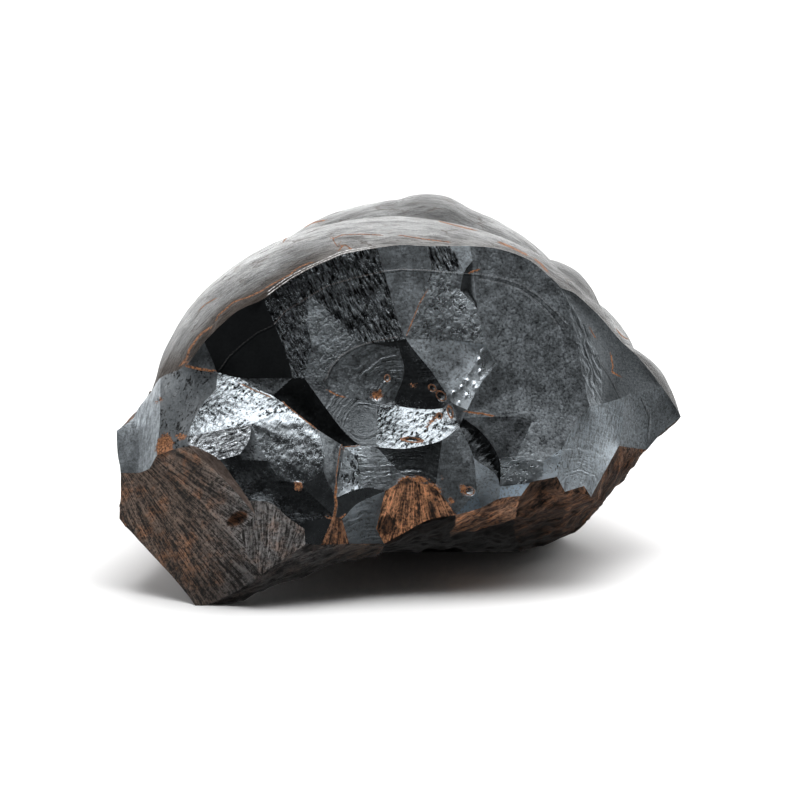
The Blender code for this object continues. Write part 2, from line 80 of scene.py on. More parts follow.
# The rim, where the break meets the skin, from the left end to the right: column, row and depth.
RIM = {
    "r01": (161, 379, 17), "r02": (187, 366, 10), "r03": (205, 343, 8), "r04": (226, 322, 6.8),
    "r05": (240, 311, 6.2), "r06": (264, 300, 5), "r07": (285, 285, 5), "r08": (308, 271, 5.6),
    "r09": (330, 261, 6.1), "r10": (345, 255, 6.7), "r11": (378, 249, 7.1), "r12": (402, 246, 7.7),
    "r13": (427, 247, 8), "r14": (452, 247, 9.2), "r15": (471, 247, 10), "r16": (500, 250, 11.5),
    "r17": (530, 261, 12.3), "r18": (550, 277, 12.4), "r19": (561, 288, 12.5),
    "r20": (575, 294, 13.8), "r21": (590, 307, 15.3), "r22": (603, 320, 17), "r23": (620, 340, 19),
    "r24": (640, 359, 21.5), "r25": (663, 388, 24.5), "r26": (676, 407, 27.5),
}

# Outer edge of the left block and its foot, and on along the underside to the right end: column,
# row and depth in millimetres.
OUTLINE = {
    "s01": (152, 392, 20), "s02": (135, 418, 12.5), "s03": (117, 432, 11), "s04": (118, 455, 9),
    "s05": (121, 474, 7.1), "s06": (120, 520, 7.7), "s07": (140, 542, 5.8), "s08": (172, 577, 2.7),
    "s09": (190, 599, 1), "s10": (196, 607, 0), "s11": (206, 607, 0), "s12": (240, 603, 2),
    "s13": (262, 592, 4), "s14": (297, 580, 7), "s15": (320, 571, 8), "s16": (350, 562, 9),
    "s17": (376, 558, 12), "s18": (382, 553.5, 34.7), "s19": (420, 553.5, 34.7),
    "s20": (470, 553.5, 34.7), "s21": (520, 553.5, 34.7), "s22": (545, 548, 34),
    "s23": (560, 541, 34), "s24": (575, 534, 33), "s25": (590, 520, 31), "s26": (600, 509, 30),
    "s27": (610, 493, 28), "s28": (630, 472, 27), "s29": (648, 451, 24), "s30": (662, 435, 26),
    "s31": (682, 418, 30),
    "v1": (450, 540, 22), "v2": (515, 522, 15), "v3": (566, 510, 12),
}

# Corners between the facets of the front break: column, row and a first depth in millimetres, which
# then settles so that each facet comes out nearly flat at its own tilt.
FRONT = {
    # Left block.
    "l01": (139, 440, 7.5), "l02": (139, 474, 5.1), "l03": (160, 430, 7), "l04": (157, 457, 2.9),
    "l05": (150, 470, 3.8), "l06": (200, 369, 9), "l07": (217, 373, 7.5), "l08": (217, 390, 5.3),
    "l09": (200, 410, 2.7), "l10": (188, 438, -1), "l11": (190, 447, -0.9), "l12": (175, 440, 1.5),
    "l14": (256, 389, 5.4), "l15": (285, 405, 3.3), "l16": (300, 417, 1.8), "l17": (275, 415, 2),
    "l18": (252, 425, 0.7), "l19": (250, 440, -1.5), "l20": (240, 456, -3.2), "l22": (220, 461, -3.6),
    "l23": (205, 452, -2.8), "l24": (215, 432, -0.2), "l25": (317, 430, 1), "l26": (325, 455, -0.8),
    "l27": (325, 475, -2.2), "l28": (300, 487, -3.5), "l29": (280, 481, -3.2), "l30": (268, 462, -2.2),
    "l31": (258, 442, -0.8), "l32": (243, 461, -3), "l35": (334, 516, -3.4), "l36": (310, 522, -3.4),
    "l37": (290, 520, -3.6), "l38": (271, 504, -3.8), "l39": (250, 502, -4.2), "l40": (236, 482, -4.2),
    "l42": (256, 516, -4.4), "l43": (228, 484, -4.6), "l45": (262, 576, -4.8), "l46": (305, 530, -4),
    "l47": (306, 545, -3.8), "l48": (285, 560, -4.4), "l49": (240, 535, -4.6), "l51": (235, 594, -2.5),
    # Middle.
    "c01": (275, 325, 4.6), "c02": (283, 345, 4.6), "c03": (290, 365, 4.8), "c04": (293, 379, 5),
    "c05": (240, 379, 6.7), "c08": (273, 397, 4.4), "c10": (309, 296, 6.2), "c11": (309, 330, 5.2),
    "c12": (312, 345, 5), "c13": (305, 379, 5), "c14": (330, 313, 6.3), "c15": (355, 342, 6.2),
    "c16": (340, 360, 5.8), "c17": (325, 378, 5.2), "c18": (390, 290, 7.6), "c19": (398, 318, 7),
    "c20": (407, 340, 6.5), "c21": (395, 342, 6.5), "c22": (370, 344, 6.2), "c23": (400, 350, 6.6),
    "c24": (405, 373, 7), "c26": (378, 406, 5.5), "c27": (377, 448, 1), "c28": (361, 446, 1.2),
    "c29": (345, 433, 2.5), "c30": (325, 407, 4), "c31": (418, 355, 6.5), "c32": (432, 372, 6.2),
    "c33": (448, 396, 5.4), "c34": (440, 410, 6), "c35": (403, 408, 6.5), "c36": (452, 403, 4.8),
    "c37": (395, 402, 7), "c38": (460, 427, 2.5), "c39": (443, 441, 0.8), "c40": (350, 545, -3),
    "c41": (385, 545, -0.3), "c42": (418, 448, 0.6), "c43": (400, 450, 0.6), "c44": (345, 448, 0.8),
    # Right.
    "c50": (432, 271, 7.6), "c51": (422, 295, 6.6), "c52": (413, 322, 6), "c53": (465, 273, 8.6),
    "c54": (473, 262, 9.5), "c55": (479, 312, 7.4), "c56": (487, 346, 6.4), "c57": (455, 342, 6.2),
    "c58": (477, 299, 8), "c59": (461, 291, 9.4), "c60": (480, 352, 6), "c61": (470, 375, 4.8),
    "c63": (497, 366, 5.6), "c64": (480, 387, 4), "c65": (468, 411, 3), "c67": (574, 330, 10.5),
    "c68": (590, 408, 9), "c69": (578, 422, 7.5), "c70": (533, 423, 4.8), "c71": (522, 418, 4.4),
    "c72": (464, 419, 3), "c73": (580, 318, 12), "c74": (601, 362, 13), "c75": (603, 405, 12),
    "c76": (632, 394, 17.5), "c77": (625, 398, 16), "c78": (620, 447, 14), "c79": (624, 420, 15.5),
    "c80": (610, 465, 11), "c81": (592, 498, 7.5), "c82": (585, 487, 7), "c83": (566, 493, 5),
    "c84": (558, 478, 4.5), "c85": (565, 447, 5), "c86": (545, 462, 2.8), "c87": (517, 458, 1.8),
    "c88": (500, 460, 1.6), "c89": (483, 434, 2.4), "c90": (501, 488, 1.8), "c91": (496, 475, 1.6),
    "c92": (474, 458, 1.2), "c93": (478, 492, 1), "c94": (457, 516, 2), "c95": (436, 490, 0),
    "c96": (482, 509, 2.2), "c98": (408, 479, -0.5), "c100": (386, 492, -1), "c101": (364, 489, -1.5),
    "c102": (359, 460, -0.5), "c103": (336, 499, -2.5), "c104": (358, 505, -2.2),
    "c105": (343, 521, -2.9), "c107": (377, 530, -0.6), "c109": (430, 521, 1.5), "c110": (405, 534, 1),
    "c112": (322, 546, -3.4), "c118": (337, 394, 4.6), "c113": (531, 484, 2.4), "c115": (543, 481, 2.6),
    "c116": (522, 497, 2.4), "c117": (500, 500, 2),
}

# Corners that the front doesn't show: x, y and z in millimetres, where the picture's middle lies at 0,
# 0 and the rest height when it has no depth.
BEHIND = {
    "g2": (34, 36, 0), "g3": (31, 49, 0), "g4": (8, 56, 0), "g5": (-15, 51, 0), "g6": (-15, 36, 0),
    "k1": (55, 37, 30), "k2": (46, 49, 26), "k3": (26, 60, 22), "k4": (0, 67, 22),
    "k5": (-24, 62, 24), "k6": (-44, 50, 26), "k7": (-50, 36, 30),
    "m1": (-50, 27, 14), "m2": (-38, 20, 4), "m3": (-26, 12, 2.5), "m4": (48, 36, 14),
}

# A facet of the front break: its corners, how far it turns right and up from the line of sight in
# degrees, its finish, how light its grain is and how rough its gloss is. Then, where they aren't 0,
# how deep its middle is hollowed and how rough it is, both in millimetres, the direction of its
# grain in degrees from the picture's right, and the column and row that its rings or its fibres run
# round.
Facet = namedtuple(
    "Facet", "corners right up finish tone gloss hollow rough turn centre", defaults=(0, 0, 0, None))
BREAK = {
    "left end": Facet("s03 s02 l01 l02 s05 s04", -35, 5, "satin", 0.28, 0.42, turn=70),
    "left end inner": Facet("s02 s01 r01 l03 l04 l05 l02 l01", -45, 15, "brushed", 0.35, 0.42, turn=80),
    "left shoulder": Facet(
        "r01 r02 l06 l07 l08 l09 l10 l12 l03", -25, 15, "blotchy", 0.13, 0.36, hollow=0.3, turn=60),
    "left rust": Facet("l03 l12 l10 l11 l04", -25, 10, "blotchy", 0.13, 0.45, rough=0.4, turn=60),
    "left top corner": Facet("r02 r03 l07 l06", -30, 10, "satin", 0.18, 0.35, turn=60),
    "left mirror": Facet(
        "r03 r04 r05 r06 c01 c02 c03 c04 c05 l07", -8, -1, "mirror", 0.14, 0.1, hollow=0.4),
    "left lens": Facet("c05 c04 c08 l14", -5, 10, "sandy", 0.09, 0.3, hollow=0.1),
    "left ledge": Facet(
        "l07 c05 l14 c08 l15 l16 l17 l18 l24 l10 l09 l08", -2, 34, "pitted", 0.36, 0.2, turn=50),
    "left shell": Facet(
        "l10 l24 l18 l19 l20 l22 l23 l11",
        -5, 30, "shelly", 0.7, 0.24, hollow=0.4, turn=20, centre=(234, 455)),
    "left scallop": Facet(
        "l18 l17 l16 l25 l26 l27 l28 l29 l30 l31", 4, 24, "scalloped", 0.42, 0.26, hollow=-0.3, turn=60),
    "left chip": Facet("l18 l31 l30 l32 l20 l19", 12, 14, "satin", 0.19, 0.35),
    "left dark hollow": Facet(
        "l22 l20 l32 l30 l29 l28 l35 l36 l37 l38 l39 l40",
        3, 0, "ringed", 0.2, 0.28, hollow=0.4, centre=(290, 440)),
    "left dark wedge": Facet("l28 l27 c103 l35", -3, -2, "mirror", 0.38, 0.25),
    "left strip": Facet("l11 l23 l22 l40 l39 l42 l43", -8, -6, "brown", 0.34, 0.6, turn=-50),
    "left fibrous face": Facet(
        "s05 l02 l05 l04 l11 l43 l42 l49 l45 l51 s11 s10 s09 s08 s07 s06",
        -30, -3, "fibrous", 1.15, 0.5, rough=0.2, centre=(80, 400)),
    "left lower face": Facet(
        "l42 l39 l38 l37 l46 l47 l48 l45 l49", 0, -10, "fibrous", 1.65, 0.5, rough=0.3, centre=(262, 645)),
    "foot bevel": Facet(
        "s11 l51 l45 l48 l47 c112 c40 c41 s17 s16 s15 s14 s13 s12",
        15, -60, "fibrous", 0.55, 0.6, rough=0.6, turn=20),
    "small black": Facet("l36 l35 c112 l47 l46 l37", 8, 2, "mirror", 0.3, 0.25),
    "small fan": Facet("l35 c105 c40 c112", -12, -8, "orange", 1.1, 0.6, centre=(338, 505)),
    "grainy strip": Facet(
        "r06 r07 r08 c10 c11 c12 c13 c04 c03 c02 c01", -10, 4, "glinting", 0.26, 0.2, hollow=0.2, turn=-60),
    "grey wedge": Facet("c10 c14 c15 c16 c17 c13 c12 c11", 8, 14, "grainy", 0.5, 0.4),
    "streaked wedge": Facet(
        "r08 r09 r10 r11 c18 c19 c20 c21 c22 c15 c14 c10",
        3, 0, "streaked", 0.44, 0.28, hollow=0.3, turn=-64),
    "ringed face": Facet(
        "c13 c17 c16 c15 c22 c23 c24 c37 c26 c118",
        -3, 14, "ringed", 0.5, 0.36, hollow=0.2, centre=(400, 400)),
    "ringed lens": Facet(
        "c13 c118 c26 c27 c28 c29 c30", -3, 18, "ringed", 0.15, 0.4, hollow=0.1, centre=(366, 427)),
    "dark recess": Facet(
        "c22 c21 c20 c31 c32 c33 c36 c34 c35 c37 c24 c23",
        0, -6, "ringed", 0.25, 0.16, hollow=0.6, centre=(420, 340)),
    "bright ledge": Facet(
        "c26 c37 c35 c34 c36 c38 c39 c42 c43 c27", -2, 36, "pitted", 0.26, 0.18, hollow=0.2, turn=40),
    "black band": Facet("c04 c13 c30 c29 c28 c44 l25 l16 l15 c08", -8, 10, "mirror", 0.12, 0.2, hollow=0.2),
    "blue splinter": Facet("l25 c44 c103 l27 l26", -20, 4, "ringed", 0.36, 0.4, turn=90, centre=(380, 470)),
    "white splinter": Facet("c44 c28 c102", 0, 32, "pitted", 1.0, 0.55),
    "small shell": Facet("c44 c102 c101 c103", 14, 10, "pitted", 1.0, 0.4, hollow=0.2, turn=85),
    "striped face": Facet("c28 c27 c98 c100 c101 c102", 4, 14, "banded", 0.95, 0.36, centre=(380, 560)),
    "banded face": Facet(
        "c27 c43 c42 c39 c95 c98", 0, -4, "banded", 0.26, 0.32, hollow=0.2, centre=(412, 515)),
    "dark strip": Facet("c103 c101 c100 c104 c105 l35", 0, 0, "mirror", 0.36, 0.3, hollow=0.1),
    "lower lens": Facet(
        "c105 c104 c100 c107 c41 c40", 12, 2, "ringed", 1.0, 0.6, hollow=-0.2, centre=(373, 560)),
    "orange fan": Facet(
        "c100 c98 c95 c94 c109 c110 c107", 0, -12, "orange", 1.85, 0.6, hollow=-0.2, centre=(412, 440)),
    "orange corner": Facet("c107 c110 c41", 10, -10, "orange", 1.4, 0.6, centre=(412, 440)),
    "top satin": Facet("r11 r12 r13 c50 c51 c52 c20 c19 c18", -3, 12, "satin", 0.85, 0.42, hollow=0.1),
    "top streak": Facet("r13 r14 c53 c50", 18, 0, "streaked", 0.52, 0.3, turn=-66),
    "top chip": Facet("r14 r15 c54 c53", -8, 15, "satin", 0.88, 0.5),
    "top pit": Facet("c53 c54 c58 c55 c59", 0, 0, "mirror", 0.4, 0.2, hollow=0.5),
    "sparkling face": Facet(
        "c50 c53 c59 c55 c56 c57 c20 c52 c51", -12, 10, "sandy", 0.68, 0.32, hollow=-0.1),
    "pale face": Facet("c20 c57 c60 c61 c33 c32 c31", 10, 16, "crackled", 0.9, 0.45, hollow=0.1),
    "crown splinter": Facet("c57 c56 c60", 0, 20, "satin", 1.0, 0.6),
    "glinting strip": Facet("c60 c56 c63 c64 c65 c36 c33 c61", -16, 26, "chippy", 0.98, 0.3, turn=80),
    "large face": Facet(
        "r15 r16 r17 r18 r19 c67 c68 c69 c70 c71 c72 c65 c64 c63 c56 c55 c58 c54",
        12, 13, "crackled", 0.5, 0.44, hollow=0.5),
    "stepped strip": Facet("r19 c73 c74 c75 c68 c67", 30, 8, "stepped", 0.48, 0.3, turn=-70),
    "right face": Facet(
        "r19 r20 r21 r22 r23 r24 r25 c76 c77 c75 c74 c73", 32, 14, "satin", 0.28, 0.42, hollow=0.2),
    "right end face": Facet(
        "c76 r25 r26 s31 s30 s29 c78 c79 c77", 38, 4, "crackled", 0.58, 0.42, hollow=0.1),
    "brushed face": Facet(
        "c68 c75 c77 c79 c78 c80 c81 c82 c83 c84 c85 c69",
        22, 20, "arced", 1.0, 0.52, hollow=0.2, turn=78, centre=(578, 494)),
    "pale blue face": Facet("c70 c69 c85 c86 c87", 10, 26, "crackled", 0.47, 0.42),
    "middle grey": Facet("c72 c71 c70 c87 c88 c89", 0, 12, "satin", 0.24, 0.36),
    "black crescent": Facet("c38 c72 c89 c88 c90 c91 c92", -6, 2, "wavy", 0.08, 0.16, hollow=0.4, turn=50),
    "ledge end": Facet("c36 c65 c72 c38", -5, 10, "mirror", 0.38, 0.18, hollow=0.1),
    "lower grey": Facet("c39 c38 c92 c93 c94 c95", -5, 6, "satin", 0.75, 0.42, hollow=0.1),
    "lower blue": Facet("c92 c91 c90 c117 c96 c93", 14, -12, "satin", 1.0, 0.7),
    "lower splinter": Facet("c93 c96 c94", 0, -20, "satin", 1.0, 1.0),
    "mottled bits": Facet("c88 c87 c86 c115 c113 c90", 5, 4, "blotchy", 1.0, 0.44, rough=0.3, turn=30),
    "mottled end": Facet("c86 c85 c84 c115", 10, 16, "blotchy", 1.0, 0.7, turn=60),
    "blue chip": Facet("c90 c113 c116 c117", 8, 22, "satin", 1.0, 1.0),
}

# The rest of the broken faces: the corners, the hollow, the roughness, and how light the face is if
# it shows from the front.
UNDERSIDE = {
    "foot notch": ("c41 s18 s17", 0, 0.6, 0.5),
    # The belly's front left and low faces get a near-black tone: painted shadow under the overhang.
    "belly front left": ("c41 c110 c109 c94 v1 s19 s18", 0, 1, 0.06),
    "belly front": ("c94 c96 c117 c116 v2 v1", 0, 1, 1.4),
    "belly low": ("v1 v2 s21 s20 s19", 0, 1, 0.06),
    "belly right": ("c116 c113 c115 c84 c83 v3 v2", 0, 1, 0.5),
    "belly low right": ("v2 v3 s23 s22 s21", 0, 1, 0.35),
    "belly side": ("v3 c83 c82 c81 s26 s25 s24 s23", 0, 1, 0.6),
    "right underside": ("c81 c80 c78 s29 s28 s27 s26", 0, 0.8, 0.55),
    "resting face": ("s18 s19 s20 s21 g2 g3 g4 g5 g6", 0, 0, None),
    "left top back": ("s01 s02 s03 k7", 0, 0.8, 0.6),
    "left side": ("s03 s04 s05 s06 m1 k7", 0.6, 1.2, 0.6),
    "left low side": ("s06 s07 s08 m2 m1", 0, 1.2, 0.5),
    "sole": ("s08 s09 s10 s11 s12 s13 m3 m2", 0, 0.6, None),
    "sole inner": ("s13 s14 s15 s16 s17 s18 g6 m3", 0, 0.8, 0.5),
    "low back left": ("m2 m3 g6 g5", 0, 1.2, None),
    "back left": ("m1 m2 g5 k6 k7", 0, 1.8, None),
    "back left corner": ("g5 k5 k6", 0, 1.8, None),
    "back": ("g5 g4 k4 k5", 0, 1.8, None),
    "back right": ("g4 g3 k3 k4", 0, 1.8, None),
    "right back": ("g3 g2 k2 k3", 0, 1.8, None),
    "right low side": ("s21 s22 s23 s24 m4 g2", 0, 1.2, None),
    "right side": ("s24 s25 s26 s27 s28 m4", 0, 1.2, None),
    "right upper side": ("s28 s29 s30 s31 k1 k2 m4", 0, 1.2, None),
    "right rear": ("g2 m4 k2", 0, 1.6, None),
}

# What a finish does to the surface: the kind of relief, its height and its size across and along the
# grain, in millimetres.
RELIEFS = {
    "mirror": [("wave", 0.015, 5, 5)],
    "satin": [("wave", 0.035, 4, 5), ("wave", 0.015, 1, 1)],
    "crackled": [("wave", 0.05, 5, 5), ("dome", 0.03, 1.6, 1.6)],
    "grainy": [("wave", 0.06, 1.8, 2.4), ("wave", 0.04, 0.6, 0.6)],
    "blotchy": [("wave", 0.08, 2, 2), ("wave", 0.05, 0.6, 0.6)],
    "glinting": [("wave", 0.09, 0.6, 1.3), ("wave", 0.05, 0.45, 0.6), ("wave", 0.04, 3, 4)],
    "chippy": [("chip", 0.3, 0.85, 1.6), ("wave", 0.015, 0.8, 1.4)],
    "brushed": [("wave", 0.03, 4, 4), ("wave", 0.025, 0.7, 9)],
    "sandy": [("wave", 0.035, 0.4, 0.4), ("wave", 0.04, 1, 1)],
    "streaked": [("wave", 0.15, 0.6, 2.6), ("wave", 0.05, 0.45, 0.8), ("wave", 0.1, 2.5, 7)],
    "pitted": [("pit", 0.06, 0.9, 1.4), ("wave", 0.05, 2, 3), ("wave", 0.035, 0.5, 0.8)],
    "scalloped": [("dome", 0.05, 1.6, 1.2), ("wave", 0.03, 0.8, 1), ("wave", 0.1, 3, 2)],
    "shelly": [("ring", 0.09, 0.8, 1), ("wave", 0.05, 0.6, 2.2)],
    "ringed": [("wave", 0.03, 4, 4), ("wave", 0.02, 1, 1)],
    "banded": [("wave", 0.03, 4, 4), ("wave", 0.03, 1, 1)],
    "arced": [("wave", 0.03, 4, 4), ("wave", 0.03, 0.9, 6)],
    "wavy": [("wave", 0.05, 0.8, 2), ("chip", 0.15, 0.9, 1.6), ("wave", 0.1, 2.2, 3.5)],
    "stepped": [("step", 0.24, 1.15, 5), ("wave", 0.06, 0.6, 2)],
    "brown": [("wave", 0.06, 0.8, 6), ("wave", 0.15, 4, 6)],
    "fibrous": [("wave", 0.05, 0.7, 5), ("wave", 0.1, 2.2, 7), ("wave", 0.25, 6, 8)],
    "orange": [("wave", 0.1, 0.7, 6), ("wave", 0.12, 1.6, 9), ("wave", 0.2, 3, 5)],
    "rough": [("wave", 0.12, 1.2, 5), ("wave", 0.4, 4, 7)],
}
# Finishes whose relief needs small triangles.
FINE = (
    "grainy", "glinting", "sandy", "chippy", "streaked", "pitted", "scalloped", "shelly", "wavy", "stepped",
)

# How a finish is coloured and grained: speckle, sparkle, cracks, rings, streaks, pits, which are small
# hollows darkened by painted shade, and brown.
GRAINS = {
    "mirror": (0.5, 0.03, 0, 0.2, 0, 0, 0),
    "satin": (1.0, 0.35, 0.5, 0.1, 0.2, 0, 0),
    "crackled": (1.1, 0.4, 1.2, 0, 0, 0, 0),
    "grainy": (1.2, 1, 0.2, 0, 0, 0, 0),
    "blotchy": (0.8, 0.5, 0.3, 0, 0, 1, 0),
    "glinting": (1.4, 0.8, 0, 0, 2.6, 0, 0),
    "chippy": (0.6, 0.3, 0.6, 0, 0.2, 0, 0),
    "brushed": (0.7, 0.3, 0, 0, 1, 0, 0),
    "streaked": (1.1, 0.35, 0, 0, 3, 0, 0),
    "sandy": (1.3, 0.8, 0.3, 0, 0, 0, 0),
    "pitted": (0.5, 0.4, 0, 0, 0.3, 1, 0),
    "scalloped": (0.4, 0.15, 0, 0, 0.4, 0.15, 0),
    "shelly": (0.8, 0.5, 0, 2.4, 2.4, 0.7, 0.05),
    "ringed": (1.0, 0.4, 0.2, 1.2, 0.2, 0, 0),
    "banded": (1.0, 0.5, 0.2, 2.6, 0.2, 0, 0),
    "arced": (0.8, 0.5, 0.2, 0.9, 1, 0.1, 0),
    "wavy": (0.8, 0.3, 0, 0, 1.2, 0, 0),
    "stepped": (0.4, 0.4, 0, 0, 1, 0, 0),
    "brown": (0.6, 0.6, 0, 0, 0.8, 0, 0.6),
    "orange": (0, 0, 0, 0, 0, 0, 0.8),
    "rough": (0, 0, 0, 0, 0, 0, 0.45),
}
GRAIN_NAMES = ("speckle", "sparkle", "cracks", "rings", "streaks", "pits", "brown")
FIBROUS = ("fibrous", "orange", "rough")

# Thin lines of old growth on the break, as columns and rows.
GROWTH_LINES = [
    [(220, 371), (229, 358), (243, 345), (257, 334), (274, 326), (286, 312), (303, 302), (317, 293),
     (330, 286), (354, 279), (385, 272), (402, 270), (427, 271), (460, 274), (483, 275), (508, 280),
     (524, 286), (541, 297), (557, 312), (568, 324)],
    [(561, 330), (552, 317), (537, 302), (521, 291), (505, 285), (483, 280)],
    [(327, 379), (332, 367), (341, 357), (354, 349), (365, 345), (382, 341), (397, 338)],
    [(600, 360), (612, 378), (622, 398)],
    [(644, 400), (652, 418), (650, 440)],
]
# Rusty cracks on the break: a half width in millimetres, then columns and rows.
RUST_LINES = [
    (0.25, [(187, 367), (200, 370), (213, 372)]),
    (0.12, [(242, 385), (254, 391), (271, 398)]),
    (0.12, [(285, 405), (300, 417), (317, 430)]),
    (0.12, [(427, 293), (420, 305), (414, 320), (408, 335)]),
    (0.2, [(472, 273), (478, 271)]),
    (0.2, [(468, 413), (484, 415), (493, 417)]),
    (0.1, [(592, 331), (594, 335), (596, 338)]),
    (0.15, [(612, 356), (614, 367), (613, 373), (620, 377)]),
    (0.3, [(337, 488), (336, 497), (337, 506), (335, 517)]),
    (0.1, [(341, 449), (339, 462), (337, 478), (337, 488)]),
    (0.1, [(345, 448), (358, 447)]),
    (0.2, [(329, 519), (338, 521), (345, 517)]),
    (0.15, [(330, 392), (337, 396), (344, 398)]),
]
# Rusty spots and hollows on the break: column, row, half width, half height, turn in degrees, depth
# in millimetres and whether the rust is only a ring round it. The half sizes are in pixels.
Spot = namedtuple("Spot", "column row wide high turn depth ring")
RUST_SPOTS = [Spot(*values) for values in (
    (165, 447, 8, 12, -15, 0.3, False), (182, 438, 5, 2.5, 0, 0, False),
    (299, 487, 4, 4.5, 0, -0.3, False), (378, 396, 6, 4.5, 25, 0.5, False),
    (388, 379, 2.6, 3.4, 0, 0.5, True), (414, 387, 2.6, 1.8, 0, 0, False),
    (433, 389, 4, 3, -35, 0.8, True), (442, 397, 5.5, 4, -45, 0.9, True),
    (451, 413, 2.4, 6, 15, 0.6, True), (434, 421, 7, 1.6, 48, 0, False),
    (440, 417, 3, 3, 0, 0.4, True), (413, 441, 9, 2.2, -6, 0.4, True),
    (464, 491, 3.4, 5, 30, 0, False), (470, 492, 5, 4, -20, 0.8, True),
    (452, 502, 2.4, 3.4, 0, 0, False),
    (443, 479, 1.6, 1, 0, 0, False), (160, 401, 3, 1.6, 35, 0.8, False), (387, 527, 9, 9, 0, 0, False),
    (406, 482, 8, 4, 25, 0, False), (420, 481, 9, 3.5, -8, 0, False), (435, 490, 8, 4, -35, 0, False),
    (238, 520, 11, 6, 30, 1, False),
)]
# Rusty cracks in the skin, as the lines above.
SKIN_LINES = [
    (0.22, [(180, 367), (187, 360), (190, 350), (196, 342), (200, 336), (210, 329)]),
    (0.14, [(217, 320), (219, 316), (224, 312), (234, 303), (249, 298), (262, 292)]),
    (0.12, [(262, 292), (273, 285), (290, 276), (298, 269), (312, 263)]),
    (0.12, [(340, 251), (345, 245), (352, 250), (346, 254)]),
    (0.1, [(338, 247), (333, 240), (342, 236), (360, 235), (382, 236)]),
    (0.1, [(400, 236), (425, 240), (450, 243)]),
    (0.18, [(536, 260), (542, 265), (549, 273)]),
    (0.15, [(305, 228), (312, 224), (325, 221)]),
    (0.2, [(500, 243), (512, 248), (528, 256)]),
    (0.12, [(618, 331), (623, 337), (628, 340)]),
    (0.12, [(440, 222), (455, 226), (475, 231)]),
    (0.1, [(200, 311), (206, 305), (215, 300)]),
    (0.12, [(284, 242), (292, 234), (302, 229)]),
]
# Relief fades out over this distance from a facet's edge, and the skin's over this angle.
EDGE_FADE = 0.45
SKIN_FADE = 0.03
# The skin's relief: the height and then the size across and along the streaks, or all round.
SKIN_RELIEF = [(0.09, 1.6, 6), (0.05, 0.8, 3), (0.15, 6), (0.08, 2.6)]
# Noise that moves the points of rough faces: its first seed, its size and its share of the roughness.
ROUGHNESS = [(31, 7.0, 0.6), (41, 1.7, 0.36)]
# Tone of the rough faces that don't show from the front, and the gloss of all of them.
UNSEEN_TONE, ROUGH_GLOSS = 0.5, 0.6

# Facets that run softly into each other.
SOFT_PAIRS = [
    ("sparkling face", "pale face"), ("pale face", "glinting strip"), ("left shoulder", "left rust"),
    ("left strip", "left fibrous face"), ("large face", "stepped strip"),
    ("left fibrous face", "left lower face"), ("crown splinter", "pale face"),
    ("crown splinter", "sparkling face"), ("stepped strip", "right face"), ("top satin", "ringed face"),
]

# The room, in metres: the table, and the lights with their place, size, power in watts and whether the
# stone mirrors them. Then the way to the room's bright side.
FLOOR_SIDE, TABLE_ROUGHNESS = 8, 0.9
LIGHTS = [
    ("top", (0, 0.02, 0.62), (0.5, 0.35), 2.8, True),
    ("fill", (0.9, 1.2, 2.4), (3.6, 3.6), 110, False),
]
BRIGHT_SIDE = (-0.3, 0.95, 0)
# The room's brightness: from and to which cosine of the way to the bright side it grows, from and to
# which height, as a sine, it falls, and how it ends below the table.
ROOM_GROWTH = (-0.6, 0.9, 0.05, 2.0)
ROOM_FALL = (0.25, 0.8, 1.0, 0.15)
ROOM_END = (-0.25, 0.0, 0.1, 1.0)
# Where the camera looks.
TARGET = (-0.0005, -0.030, 0.040)

# The skin is closed by the rim and by the upper edge of the rough back. Its points are laid out by
# their angle about an axis through the stone's heart, both in world millimetres.
SKIN_EDGE = ["s01"] + list(RIM) + ["s31"] + ["k" + str(number) for number in range(1, 8)]
SKIN_HEART = (0, 34, 24)
SKIN_AXIS = (0, 0.55, 0.83)
# The skin's streaks run at this radius about another middle.
SKIN_RADIUS, GRAIN_HEART = 45, (0, 34, 8)
# Angle over which the lobes give way to the corners that were read from the picture.
MEND_REACH = 0.12
# Points inside a facet keep this share of a step from its edge.
EDGE_CLEARANCE = 0.6
# Edges run on smoothly through a corner where they turn by less than this.
SMOOTH_TURN = math.cos(math.radians(38))
# Thin lines are known this far to their sides, and are FAR beyond that. Rings are this half wide.
LINE_REACH, FAR, RING_WIDTH = 0.9, 9.0, 0.12
# How near the rim is counts up to this, in millimetres.
RIM_REACH = 16.0
# Rust in the skin is drawn where the skin looks at the eye by more than this cosine.
LEAST_FACING = 0.05
# Share of the seeds that carry no chip, and the sizes of chips and pits against their cells.
CHIP_SHARE = 0.65
CHIP_SIZE, PIT_SIZE = 0.3, 0.32
# Share of a step that its tread takes up.
TREAD = 0.75
# How strongly a corner keeps its first depth and a facet its tilt, against being flat, and the
# length in millimetres over which a tilt is measured.
HINT_WEIGHT, TILT_WEIGHT = 0.8, 1.5
TILT_LENGTH = 10
# Facets that are kept flat before others, by how much.
FLATNESS = {"large face": 4, "black band": 3, "right end face": 2}
# Numbers that tell the noises apart, and how whole numbers are mixed into them.
RING_SEED, STEP_SEED, PIT_SEED, SKIN_SEED = 5, 6, 8, 21
SEED_STEP, SEED_START = 7919, 17
MIXER = np.uint64(0x9E3779B97F4A7C15)
# How many places are interpolated at once. Points nearer than the least gap are one, and a length
# below the tiny one is as good as none.
AT_ONCE = 2000
LEAST_GAP, TINY = 1e-6, 1e-9

